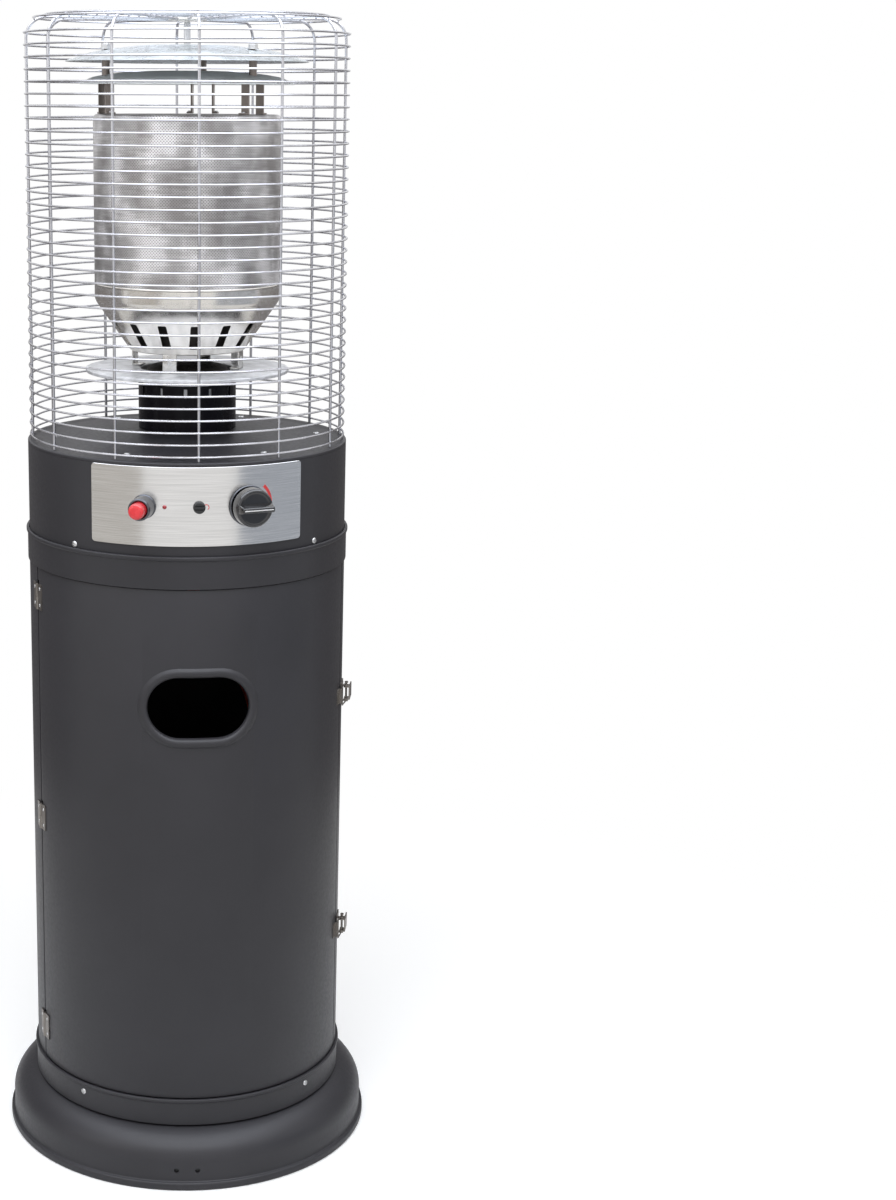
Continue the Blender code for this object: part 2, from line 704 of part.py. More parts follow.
def hinge_notches(name):
    """Blocks that clear each hinge's barrel out of the sheet beside it."""
    reach = HINGE_BARREL_RADIUS + 2 * BORE_SLACK
    notches = []
    for number, height in enumerate(HINGE_HEIGHTS):
        notches.append(box(
            f"{name}_notch_{number}", (2 * reach, 2 * reach, HINGE_LENGTH + 2 * BORE_SLACK),
            HINGE_PLACE + height * Z_AXIS))
    return notches


def make_housing():
    """The fixed rear shell, and the curved door that closes its front."""
    far = BODY_RADIUS + OVERRUN
    rear = housing_shell("rear_shell", SHELL_BOTTOM, SHELL_TOP)
    cut(rear, half_space("door_side", -far, HINGE_PLACE.y + SEAM_REAR_GAP), *hinge_notches("rear"))
    make_part(rear, "charcoal")

    door = housing_shell("door_panel", DOOR_BOTTOM, DOOR_TOP)
    cut(door, half_space("rear_side", HINGE_PLACE.y - SEAM_FRONT_GAP, far))

    crest = BODY_RADIUS + HOLE_RIM_RISE
    across = HOLE_WIDTH + 2 * HOLE_RIM_WIDTH
    tall = HOLE_HEIGHT + 2 * HOLE_RIM_WIDTH
    rim = turned("hand_hole_rim", [
        (crest, HOLE_HEIGHT_CENTRE + tall), (crest, HOLE_HEIGHT_CENTRE - tall),
        (BODY_INSIDE, HOLE_HEIGHT_CENTRE - tall), (BODY_INSIDE, HOLE_HEIGHT_CENTRE + tall)])
    rim_outline = to_mesh(plate(
        "rim_outline", slot_outline(across, tall, HOLE_ROUND_STEPS), BODY_RADIUS))
    hole_outline = to_mesh(plate(
        "hole_outline", slot_outline(HOLE_WIDTH, HOLE_HEIGHT, HOLE_ROUND_STEPS), BODY_RADIUS))
    for outline in (rim_outline, hole_outline):
        outline.location = (0, -BODY_RADIUS, HOLE_HEIGHT_CENTRE)
    trim(rim, rim_outline)
    join(door, rim)
    cut(door, hole_outline, *hinge_notches("door"))
    make_part(door, "charcoal")
    return door


def make_head(control_holes):
    """The fixed head over the bottle housing: its floor, its wall, its lid and the control panel."""
    floor = turned("head_floor", [
        (0, FLOOR_TOP), (BODY_RADIUS, FLOOR_TOP), (BODY_RADIUS, FLOOR_BOTTOM), (0, FLOOR_BOTTOM)])
    inlet = around(180, INLET_RADIUS_FROM_AXIS)
    cut(floor, rod("inlet_hole", INLET_THREAD_RADIUS + CLEARANCE,
                   inlet + (FLOOR_BOTTOM - OVERRUN) * Z_AXIS,
                   inlet + (FLOOR_TOP + OVERRUN) * Z_AXIS))
    make_part(floor, "charcoal")

    wall_top = HEAD_EDGE_BOTTOM - CLEARANCE
    wall = turned("head_shell", [
        (HEAD_RADIUS, wall_top), (HEAD_RADIUS, HEAD_BOTTOM),
        (HEAD_INSIDE, HEAD_BOTTOM), (HEAD_INSIDE, wall_top)])
    cut(wall, *control_holes)
    make_part(wall, "charcoal")

    seat_outside = HEAD_RADIUS - HEAD_EDGE_ROUND
    seat_inside = seat_outside - HEAD_SEAT_WIDTH
    stem_hole = BURNER_STEM_RADIUS + BORE_SLACK
    round_inside = HEAD_EDGE_ROUND - SHEET
    lid = turned("head_top_plate", [
        (stem_hole, HEAD_CENTRE_TOP), (HEAD_CENTRE_RADIUS, HEAD_CENTRE_TOP),
        (seat_inside, HEAD_RIM_HEIGHT),
        *arc((seat_outside, HEAD_EDGE_BOTTOM), (HEAD_EDGE_ROUND, HEAD_EDGE_ROUND), 90, 0, 2),
        *arc((seat_outside, HEAD_EDGE_BOTTOM), (round_inside, round_inside), 0, 90, 1),
        (seat_inside, HEAD_RIM_HEIGHT - SHEET), (HEAD_CENTRE_RADIUS, HEAD_CENTRE_TOP - SHEET),
        (stem_hole, HEAD_CENTRE_TOP - SHEET)])
    make_part(lid, "charcoal")

    panel = turned("control_panel", [
        (PANEL_RADIUS, PANEL_TOP + OVERRUN), (PANEL_RADIUS, PANEL_BOTTOM - OVERRUN),
        (PANEL_INSIDE, PANEL_BOTTOM - OVERRUN), (PANEL_INSIDE, PANEL_TOP + OVERRUN)])
    width = 2 * PANEL_RADIUS * math.sin(math.radians(PANEL_HALF_AZIMUTH))
    outline = to_mesh(plate(
        "panel_outline", rounded_outline(width, PANEL_TOP - PANEL_BOTTOM, PANEL_CORNER),
        HEAD_RADIUS))
    outline.location = (0, -HEAD_RADIUS, (PANEL_TOP + PANEL_BOTTOM) / 2)
    trim(panel, outline)
    cut(panel, *control_holes)
    make_part(panel, "stainless")


def radial_hole(name, azimuth, radius):
    """A cutter through the control panel and the head's wall."""
    return rod(name, radius, around(azimuth, HEAD_INSIDE - 2 * OVERRUN, CONTROL_HEIGHT),
               around(azimuth, PANEL_RADIUS + OVERRUN, CONTROL_HEIGHT))


def make_control_holes():
    return [
        radial_hole("knob_hole", KNOB_AZIMUTH, STEM_RADIUS + BORE_SLACK),
        radial_hole("igniter_hole", IGNITER_AZIMUTH, IGNITER_NECK_RADIUS + BORE_SLACK),
        radial_hole("lamp_hole", LAMP_AZIMUTH, LAMP_RADIUS + CLEARANCE),
        radial_hole("cap_hole", CAP_AZIMUTH, CAP_NECK_RADIUS + BORE_SLACK),
    ]


def control_station(name, azimuth):
    """An empty on the panel's face, whose -Y axis is a control's own axis."""
    return empty(name, around(azimuth, PANEL_RADIUS, CONTROL_HEIGHT), azimuth)


def outward(piece, marker):
    """Puts a piece that was turned round +Z on a station, with +Z pointing out of the panel."""
    piece.parent = marker
    piece.rotation_euler = (OUTWARD, 0, 0)
    return piece


def make_knob():
    """The gas valve, its spring-loaded stem, and the knob that pushes in and turns."""
    station = control_station("knob_axis", KNOB_AZIMUTH)
    bezel = turned("knob_bezel", [
        (STEM_RADIUS + BORE_SLACK, CLEARANCE + KNOB_BEZEL_DEPTH),
        (KNOB_BEZEL_RADIUS - KNOB_EDGE / 2, CLEARANCE + KNOB_BEZEL_DEPTH),
        (KNOB_BEZEL_RADIUS, CLEARANCE + KNOB_BEZEL_DEPTH - KNOB_EDGE / 2),
        (KNOB_BEZEL_RADIUS, CLEARANCE),
        (STEM_RADIUS + BORE_SLACK, CLEARANCE)], MIDDLE_STEPS)
    outward(make_part(bezel, "zinc"), station)

    back = KNOB_BEZEL_DEPTH + 2 * CLEARANCE + KNOB_PUSH
    disc_front = back + KNOB_DISC
    bore = STEM_RADIUS + CLEARANCE
    knob = turned("control_knob", [
        (0, disc_front),
        (KNOB_RADIUS - KNOB_EDGE, disc_front),
        (KNOB_RADIUS, disc_front - KNOB_EDGE),
        (KNOB_RADIUS, back),
        (0, back)], MIDDLE_STEPS)
    grip = box("knob_grip", (2 * (KNOB_RADIUS - KNOB_EDGE), KNOB_GRIP_WIDTH, KNOB_GRIP_DEPTH + KNOB_EDGE),
               (0, 0, disc_front + (KNOB_GRIP_DEPTH - KNOB_EDGE) / 2), KNOB_EDGE)
    bore_cut = rod("knob_bore", bore, (0, 0, back - OVERRUN), (0, 0, back + STEM_SINK))
    cut(join(knob, grip), bore_cut)
    outward(make_part(knob, "black"), station)

    boss_front = PANEL_RADIUS - VALVE_SETBACK - PANEL_SHEET - SHEET
    body_front = boss_front - VALVE_BOSS_LENGTH
    body_middle = body_front - VALVE_DEPTH / 2
    valve = box("gas_valve", (VALVE_WIDTH, VALVE_DEPTH, VALVE_HEIGHT), (0, -body_middle, 0), VALVE_EDGE)
    boss = rod("valve_boss", VALVE_BOSS_RADIUS, (0, -body_front + VALVE_EDGE, 0), (0, -boss_front, 0))
    stem_bore = rod("valve_bore", STEM_RADIUS + CLEARANCE, (0, -boss_front - OVERRUN, 0),
                    (0, -body_middle, 0))
    cut(join(valve, boss), stem_bore)
    stand(valve, KNOB_AZIMUTH, 0, CONTROL_HEIGHT)
    make_part(valve, "brass")

    stem_rear = body_middle - PANEL_RADIUS + KNOB_PUSH + CLEARANCE
    stem = rod("valve_stem", STEM_RADIUS, (0, 0, stem_rear), (0, 0, back + STEM_SINK - CLEARANCE))
    outward(make_part(stem, "zinc"), station)
    return body_front - VALVE_DEPTH


def make_igniter():
    """The spark igniter: its bezel on the panel, its red button and its module behind."""
    station = control_station("igniter_axis", IGNITER_AZIMUTH)
    bore = IGNITER_BUTTON_RADIUS + CLEARANCE
    front = IGNITER_BEZEL_LENGTH
    bezel = turned("igniter_bezel", [
        (0, IGNITER_BEZEL_FLOOR),
        (bore, IGNITER_BEZEL_FLOOR),
        (bore, front),
        (IGNITER_BEZEL_RADIUS - IGNITER_BEZEL_EDGE, front),
        (IGNITER_BEZEL_RADIUS, front - IGNITER_BEZEL_EDGE),
        (IGNITER_BEZEL_RADIUS, CLEARANCE),
        (0, CLEARANCE)], MIDDLE_STEPS)
    outward(make_part(bezel, "black"), station)

    rear = IGNITER_BUTTON_FRONT - IGNITER_BUTTON_LENGTH
    button = turned("igniter_button", [
        (0, IGNITER_BUTTON_FRONT),
        (IGNITER_BUTTON_RADIUS - IGNITER_BUTTON_EDGE, IGNITER_BUTTON_FRONT),
        (IGNITER_BUTTON_RADIUS, IGNITER_BUTTON_FRONT - IGNITER_BUTTON_EDGE),
        (IGNITER_BUTTON_RADIUS, rear),
        (0, rear)], MIDDLE_STEPS)
    outward(make_part(button, "red"), station)

    shoulder = -(PANEL_SHEET + SHEET + 4 * CLEARANCE)
    module = turned("igniter_module", [
        (0, 0),
        (IGNITER_NECK_RADIUS, 0),
        (IGNITER_NECK_RADIUS, shoulder),
        (IGNITER_MODULE_RADIUS, shoulder),
        (IGNITER_MODULE_RADIUS, shoulder - IGNITER_MODULE_LENGTH),
        (0, shoulder - IGNITER_MODULE_LENGTH)], SMALL_STEPS)
    outward(make_part(module, "black"), station)


def make_lamp_and_cap():
    """The red warning lamp, and the small slotted cap beside it."""
    lamp = turned("indicator_lamp", [
        (0, LAMP_PROUD),
        (LAMP_RADIUS, LAMP_PROUD / 3),
        (LAMP_RADIUS, LAMP_PROUD - LAMP_LENGTH),
        (0, LAMP_PROUD - LAMP_LENGTH)], SMALL_STEPS)
    outward(make_part(lamp, "red"), control_station("lamp_axis", LAMP_AZIMUTH))

    cap = turned("slotted_cap", [
        (0, CAP_PROUD),
        (CAP_RADIUS, CAP_PROUD),
        (CAP_RADIUS, CLEARANCE),
        (CAP_NECK_RADIUS, CLEARANCE),
        (CAP_NECK_RADIUS, CLEARANCE - CAP_NECK_LENGTH),
        (0, CLEARANCE - CAP_NECK_LENGTH)], SMALL_STEPS)
    slot = box("cap_slot", (2 * (CAP_RADIUS + OVERRUN), CAP_SLOT_WIDTH, CAP_SLOT_DEPTH + OVERRUN),
               (0, 0, CAP_PROUD - CAP_SLOT_DEPTH + (CAP_SLOT_DEPTH + OVERRUN) / 2))
    cut(cap, slot)
    outward(make_part(cap, "black"), control_station("cap_axis", CAP_AZIMUTH))


def make_gas_pipes(valve_rear):
    """The inlet with its pipe to the valve, and the pipe from the valve to the burner."""
    inlet = around(180, INLET_RADIUS_FROM_AXIS)
    level = FLOOR_TOP + INLET_PIPE_RISE
    port = around(KNOB_AZIMUTH, valve_rear - CLEARANCE)
    reach = INLET_RADIUS_FROM_AXIS
    route = [inlet + (FLOOR_TOP + INLET_HEX_HEIGHT) * Z_AXIS]
    route += [Vector((across * reach, along * reach, level)) for across, along in INLET_PIPE_SHARES]
    route += [port + level * Z_AXIS]
    body = rod("gas_inlet", INLET_THREAD_RADIUS,
               inlet + (FLOOR_BOTTOM - INLET_THREAD_LENGTH) * Z_AXIS,
               inlet + (FLOOR_TOP + INLET_HEX_HEIGHT) * Z_AXIS)
    collar = rod("inlet_hex", INLET_HEX_RADIUS, inlet + (FLOOR_TOP + CLEARANCE) * Z_AXIS,
                 inlet + (FLOOR_TOP + INLET_HEX_HEIGHT) * Z_AXIS, 6)
    pipe = to_mesh(tube("inlet_pipe", smooth_points(route, PIPE_STEPS), PIPE_RADIUS))
    join(body, collar, pipe)
    make_part(body, "zinc")

    height = CONTROL_HEIGHT + SUPPLY_PIPE_RISE
    start = around(KNOB_AZIMUTH, valve_rear - CLEARANCE, height)
    end = Vector((0, 0, HEAD_CENTRE_TOP - BURNER_STEM_DEPTH - CLEARANCE))
    route = [start]
    route += [Vector((start.x * across, start.y * along, height)) for across, along in SUPPLY_PIPE_SHARES]
    route += [Vector((0, 0, (height + end.z) / 2))]
    pipe = tube("supply_pipe", smooth_points(route, PIPE_STEPS) + [end], PIPE_RADIUS)
    make_part(pipe, "zinc")


def make_burner():
    """The black collar, the polished flange on its neck, and the burner head in its mouth."""
    inside = COLLAR_RADIUS - COLLAR_WALL
    collar = turned("burner_collar", [
        (inside, COLLAR_TOP), (COLLAR_RADIUS, COLLAR_TOP),
        (COLLAR_RADIUS, COLLAR_BOTTOM), (inside, COLLAR_BOTTOM)])
    make_part(collar, "black")

    mouth = NECK_RADIUS - SHEET
    underside = FLANGE_TOP - HEAVY_SHEET
    flange = turned("burner_flange", [
        (mouth, FLANGE_TOP), (FLANGE_RADIUS, FLANGE_TOP), (FLANGE_RADIUS, underside),
        (NECK_RADIUS, underside), (NECK_RADIUS, NECK_BOTTOM), (mouth, NECK_BOTTOM)])
    make_part(flange, "stainless")

    crown = [(BURNER_RADIUS * out, FLANGE_TOP + BURNER_CROWN_RISE * up)
             for out, up in BURNER_CROWN_SHARES]
    head_bottom = FLANGE_TOP - BURNER_HEAD_DEPTH
    throat = head_bottom - (BURNER_HEAD_DEPTH - BURNER_FOOT_HEIGHT) / 3
    foot_top = COLLAR_BOTTOM + BURNER_FOOT_HEIGHT
    burner = turned("burner_head", [
        (0, FLANGE_TOP + BURNER_CROWN_RISE), *crown,
        (BURNER_RADIUS, head_bottom),
        (BURNER_STEM_RADIUS, throat),
        (BURNER_STEM_RADIUS, foot_top),
        (BURNER_FOOT_RADIUS, foot_top),
        (BURNER_FOOT_RADIUS, COLLAR_BOTTOM),
        (BURNER_STEM_RADIUS, COLLAR_BOTTOM),
        (BURNER_STEM_RADIUS, HEAD_CENTRE_TOP - BURNER_STEM_DEPTH),
        (0, HEAD_CENTRE_TOP - BURNER_STEM_DEPTH)], MIDDLE_STEPS)
    make_part(burner, "iron")

    top = PILOT_PLATE_HEIGHT + PILOT_ROD_RISE
    pilot = box("pilot_assembly", (PILOT_PLATE_WIDTH, PILOT_PLATE_SHEET, PILOT_PLATE_HEIGHT),
                (0, 0, PILOT_PLATE_HEIGHT / 2))
    for number, side in enumerate((-1, 1)):
        across = side * PILOT_ROD_SPREAD / 2
        points = [(across, 0, PILOT_ROD_RISE), (across, 0, top), (across, PILOT_TIP_REACH, top)]
        join(pilot, to_mesh(tube(f"pilot_rod_{number}", points, PILOT_ROD_RADIUS)))
    stand(pilot, PILOT_AZIMUTH, PILOT_RADIUS_FROM_AXIS, FLANGE_TOP + CLEARANCE)
    make_part(pilot, "zinc")


def make_flame_cone():
    """The slotted cone under the emitter, with the four legs that stand on the flange."""
    cone = turned("flame_cone", [
        (CONE_TOP_RADIUS - SHEET, CONE_TOP), (CONE_TOP_RADIUS, CONE_TOP),
        (CONE_TOP_RADIUS, CONE_EDGE), (CONE_BOTTOM_RADIUS, CONE_BOTTOM),
        (CONE_BOTTOM_RADIUS - SHEET, CONE_BOTTOM), (CONE_TOP_RADIUS - SHEET, CONE_EDGE)])
    facing = math.cos(FACET / 2)
    leg_radius = (CONE_BOTTOM_RADIUS - SHEET) * facing
    leg_top = CONE_BOTTOM + CONE_SLOT_BOTTOM / 2
    for number in range(CONE_LEG_COUNT):
        azimuth = CONE_LEG_FIRST_AZIMUTH + number * 360 / CONE_LEG_COUNT
        leg = box(f"cone_leg_{number}", (CONE_LEG_WIDTH, HEAVY_SHEET, leg_top - CONE_FOOT),
                  (0, 0, (leg_top - CONE_FOOT) / 2))
        join(cone, stand(leg, azimuth, leg_radius, CONE_FOOT))
    middle = (CONE_BOTTOM_RADIUS + CONE_TOP_RADIUS) / 2
    for number in range(CONE_SLOT_COUNT):
        azimuth = CONE_SLOT_FIRST_AZIMUTH + number * 360 / CONE_SLOT_COUNT
        slot = box(f"cone_slot_{number}", (CONE_SLOT_WIDTH, CONE_TOP_RADIUS, CONE_SLOT_HEIGHT),
                   (0, 0, CONE_SLOT_HEIGHT / 2))
        cut(cone, stand(slot, azimuth, middle, CONE_BOTTOM + CONE_SLOT_BOTTOM))
    make_part(cone, "stainless")


def make_emitter():
    """The tall radiant screen, a cup that stands mouth down on the cone's edge."""
    shoulder = (CONE_TOP_RADIUS - EMITTER_SHOULDER, EMITTER_TOP - EMITTER_SHOULDER)
    outside = (EMITTER_SHOULDER, EMITTER_SHOULDER)
    inside = (EMITTER_SHOULDER - EMITTER_SHEET, EMITTER_SHOULDER - EMITTER_SHEET)
    screen = turned("emitter_screen", [
        (0, EMITTER_TOP), *arc(shoulder, outside, 90, 0, 2),
        (CONE_TOP_RADIUS, EMITTER_BOTTOM), (CONE_TOP_RADIUS - EMITTER_SHEET, EMITTER_BOTTOM),
        *arc(shoulder, inside, 0, 90, 1), (0, EMITTER_TOP - EMITTER_SHEET)])
    make_part(screen, "mesh")


def reflector_curve(radius, rim, crown):
    """A reflector's upper face, from its middle out to its rim."""
    return [(radius * out, rim + crown * up) for out, up in REFLECTOR_CROWN_SHARES]


def height_at(curve, radius):
    """The height of a turned face at a radius, between the points of its profile."""
    for (r0, z0), (r1, z1) in zip(curve, curve[1:]):
        if r0 <= radius <= r1:
            return z0 + (z1 - z0) * (radius - r0) / (r1 - r0)
    return curve[-1][1]


def make_reflectors():
    """Two domed reflectors over the emitter, on bent posts with welded spacers, and cap nuts."""
    corner = math.hypot(POST_RADIUS_FROM_AXIS + POST_DEPTH / 2, POST_WIDTH / 2) / math.cos(FACET / 2)
    crease = LOWER_REFLECTOR_RADIUS - LOWER_REFLECTOR_FLARE
    shape = reflector_curve(crease, 0, LOWER_REFLECTOR_CROWN)
    lower_rim = POST_TOP + CLEARANCE + SHEET - height_at(shape, corner)
    lower_face = reflector_curve(crease, lower_rim, LOWER_REFLECTOR_CROWN)
    lower_face.append((LOWER_REFLECTOR_RADIUS, lower_rim - LOWER_REFLECTOR_LIP))
    lower = turned("lower_reflector", [
        *lower_face, *[(radius, height - SHEET) for radius, height in lower_face[::-1]]])

    upper_rim = lower_rim + REFLECTOR_GAP
    upper_face = reflector_curve(UPPER_REFLECTOR_RADIUS, upper_rim, UPPER_REFLECTOR_CROWN)
    upper = turned("upper_reflector", [
        *upper_face, *[(radius, height - SHEET) for radius, height in upper_face[::-1]]])
    for number in range(POST_COUNT):
        azimuth = POST_FIRST_AZIMUTH + number * 360 / POST_COUNT
        post = plate(f"reflector_post_{number + 1}", post_outline(POST_HEIGHT), POST_DEPTH)
        stand(post, azimuth, POST_RADIUS_FROM_AXIS, POST_BOTTOM, OUTWARD)

        near = POST_RADIUS_FROM_AXIS - SPACER_RADIUS
        far = (POST_RADIUS_FROM_AXIS + SPACER_RADIUS) / math.cos(FACET / 2)
        shoulder = height_at(upper_face, far) - SHEET - CLEARANCE
        crest = height_at(upper_face, near) + CLEARANCE
        seat = POST_TOP - HEAVY_SHEET / 2
        spacer = turned(f"spacer_{number + 1}", [
            (0, crest + STUD_LENGTH), (STUD_RADIUS, crest + STUD_LENGTH), (STUD_RADIUS, shoulder),
            (SPACER_RADIUS, shoulder), (SPACER_RADIUS, seat), (0, seat)], SMALL_STEPS)
        post = join(to_mesh(post), stand(spacer, azimuth, POST_RADIUS_FROM_AXIS))
        make_part(post, "zinc")

        bore = STUD_RADIUS + CLEARANCE
        inside = crest + STUD_LENGTH + CLEARANCE
        nut = turned(f"cap_nut_{number + 1}", [
            (0, crest + CAP_NUT_HEIGHT + CAP_NUT_DOME),
            (CAP_NUT_RADIUS / 2, crest + CAP_NUT_HEIGHT + CAP_NUT_DOME * 3 / 4),
            (CAP_NUT_RADIUS, crest + CAP_NUT_HEIGHT),
            (CAP_NUT_RADIUS, crest), (bore, crest), (bore, inside), (0, inside)], SMALL_STEPS)
        make_part(stand(nut, azimuth, POST_RADIUS_FROM_AXIS), "zinc")

        place = around(azimuth, POST_RADIUS_FROM_AXIS)
        cut(upper, rod(f"stud_hole_{number}", STUD_RADIUS + BORE_SLACK,
                       place + (upper_rim - OVERRUN) * Z_AXIS,
                       place + (crest + OVERRUN) * Z_AXIS, TINY_STEPS))
        cut(lower, rod(f"spacer_hole_{number}", SPACER_RADIUS + BORE_SLACK,
                       place + POST_TOP * Z_AXIS, place + upper_rim * Z_AXIS))
    make_part(lower, "stainless")
    make_part(upper, "stainless")
    return upper_face[0][1]


def post_outline(top):
    """A strap bent like a hat: two legs, a web across their tops, and a foot outside each."""
    across = POST_WIDTH / 2
    inside = across - HEAVY_SHEET
    foot = across + POST_FOOT
    half = [(foot, 0), (foot, HEAVY_SHEET), (across, HEAVY_SHEET), (across, top)]
    inner = [(inside, top - HEAVY_SHEET), (inside, 0)]
    mirrored = [(-x, z) for x, z in half[::-1]]
    mirrored_inner = [(-x, z) for x, z in inner[::-1]]
    return half + mirrored + mirrored_inner + inner


def make_guard(crown):
    """The wire guard, its centre plate, and the rod and nut that hold it down."""
    guard_top = crown + GUARD_HEADROOM
    plate_top = guard_top - GUARD_UPRIGHT_RADIUS - CLEARANCE
    plate_bottom = plate_top - GUARD_PLATE_SHEET
    stud_hole = ROD_STUD_RADIUS + CLEARANCE
    centre_plate = turned("guard_plate", [
        (stud_hole, plate_top), (GUARD_PLATE_RADIUS, plate_top),
        (GUARD_PLATE_RADIUS, plate_bottom), (stud_hole, plate_bottom)], MIDDLE_STEPS)
    make_part(centre_plate, "zinc")

    nut_bottom = plate_top + CLEARANCE
    nut_top = nut_bottom + GUARD_NUT_HEIGHT
    stud_top = nut_top + GUARD_STUD_PROUD
    shoulder = plate_bottom - CLEARANCE
    centre_rod = turned("guard_rod", [
        (0, stud_top), (ROD_STUD_RADIUS, stud_top), (ROD_STUD_RADIUS, shoulder),
        (ROD_RADIUS, shoulder), (ROD_RADIUS, crown + CLEARANCE), (0, crown + CLEARANCE)], SMALL_STEPS)
    make_part(centre_rod, "zinc")

    nut = rod("guard_nut", GUARD_NUT_RADIUS, (0, 0, nut_bottom), (0, 0, nut_top), 6)
    cut(nut, rod("nut_bore", stud_hole, (0, 0, nut_bottom - OVERRUN), (0, 0, nut_top + OVERRUN)))
    make_part(nut, "zinc")
    for number, side in enumerate(GUARD_SIDES):
        quarter = guard_quarter(f"guard_{side}", guard_top)
        make_part(stand(quarter, number * 360 / len(GUARD_SIDES)), "zinc")


def guard_quarter(name, top):
    """A quarter of the guard's wires: hoops joined by uprights, which bend over the top to a hub.

    An upright crosses each hoop in the middle of one of the hoop's straight facets.
    """
    bottom = HEAD_RIM_HEIGHT + CLEARANCE + GUARD_UPRIGHT_RADIUS
    wall_top = top - GUARD_CORNER
    flat = GUARD_RADIUS - GUARD_CORNER
    span = (wall_top - bottom) / (GUARD_RING_COUNT - 1)
    hoops = [part_hoop(GUARD_RADIUS, bottom + span * number) for number in range(GUARD_RING_COUNT)]
    hoops += [part_hoop(flat, top), part_hoop(GUARD_HUB_RADIUS, top)]
    quarter = to_mesh(tubes(name, hoops, GUARD_RING_RADIUS, 0))

    bend = [(GUARD_RADIUS, bottom - GUARD_UPRIGHT_RADIUS)]
    bend += arc((flat, wall_top), (GUARD_CORNER, GUARD_CORNER), 0, 90, GUARD_CORNER_STEPS)
    bend += [(GUARD_HUB_RADIUS, top)]
    uprights = GUARD_UPRIGHTS // len(GUARD_SIDES)
    turns = [(number - (uprights - 1) / 2) * 360 / GUARD_UPRIGHTS for number in range(uprights)]
    runs = [[around(turn, radius, height) for radius, height in bend] for turn in turns]
    return join(quarter, to_mesh(tubes("guard_uprights", runs, GUARD_UPRIGHT_RADIUS, 0)))


def part_hoop(radius, height):
    """One side's share of a hoop: its corners, and its ends in the middle of a facet."""
    facet = 360 / (2 * GUARD_UPRIGHTS)
    corners = 2 * GUARD_UPRIGHTS // len(GUARD_SIDES)
    points = [around((number - (corners - 1) / 2) * facet, radius, height)
              for number in range(-1, corners + 1)]
    for end, inner in ((0, 1), (-1, -2)):
        reach = points[end] - points[inner]
        points[end] = points[inner] + reach / 2 - reach.normalized() * CLEARANCE / 2
    return points


def hinge_leaf(name, azimuth, side, tab_bottom, tab_top, height):
    """A hinge leaf on the facet at an azimuth, with the tab that joins it to its knuckle.

    The knuckle is at the facet's edge on the side that side names, and the leaf runs from there
    over the facet.
    """
    edge = side * BODY_RADIUS * math.sin(FACET / 2)
    near = edge - side * (HINGE_BARREL_RADIUS + BORE_SLACK)
    far = near - side * HINGE_LEAF_WIDTH
    half = HINGE_LENGTH / 2
    outline = [(far, -half), (near, -half), (near, tab_bottom), (edge, tab_bottom),
               (edge, tab_top), (near, tab_top), (near, half), (far, half)]
    out = FACET_RADIUS + CLEARANCE + HINGE_LEAF_SHEET / 2
    leaf = plate(name, outline, HINGE_LEAF_SHEET)
    return to_mesh(stand(leaf, azimuth, out, height, OUTWARD))


def make_hinges(door_axis):
    """Three lift-off hinges: a fixed half with its pin, and a half on the door that turns on it."""
    half = HINGE_LENGTH / 2
    facet = math.degrees(FACET) / 2
    for number, height in enumerate(HINGE_HEIGHTS, start=1):
        foot = HINGE_PLACE + height * Z_AXIS
        fixed = rod(f"hinge_fixed_{number}", HINGE_BARREL_RADIUS, foot - half * Z_AXIS, foot)
        pin = rod(f"hinge_pin_{number}", HINGE_PIN_RADIUS, foot - half / 2 * Z_AXIS,
                  foot + half * HINGE_PIN_SHARE * Z_AXIS, TINY_STEPS)
        join(fixed, pin, hinge_leaf(f"fixed_leaf_{number}", -SEAM_AZIMUTH - facet, 1,
                                    CLEARANCE - half, -CLEARANCE, height))
        make_part(fixed, "zinc")

        moving = rod(f"hinge_door_{number}", HINGE_BARREL_RADIUS, foot + CLEARANCE * Z_AXIS,
                     foot + half * Z_AXIS)
        join(moving, hinge_leaf(f"door_leaf_{number}", facet - SEAM_AZIMUTH, -1,
                                2 * CLEARANCE, half - CLEARANCE, height))
        bore = rod(f"hinge_bore_{number}", HINGE_PIN_RADIUS + CLEARANCE, foot - OVERRUN * Z_AXIS,
                   foot + (half * HINGE_PIN_SHARE + CLEARANCE) * Z_AXIS, TINY_STEPS)
        hang(make_part(cut(moving, bore), "zinc"), door_axis)


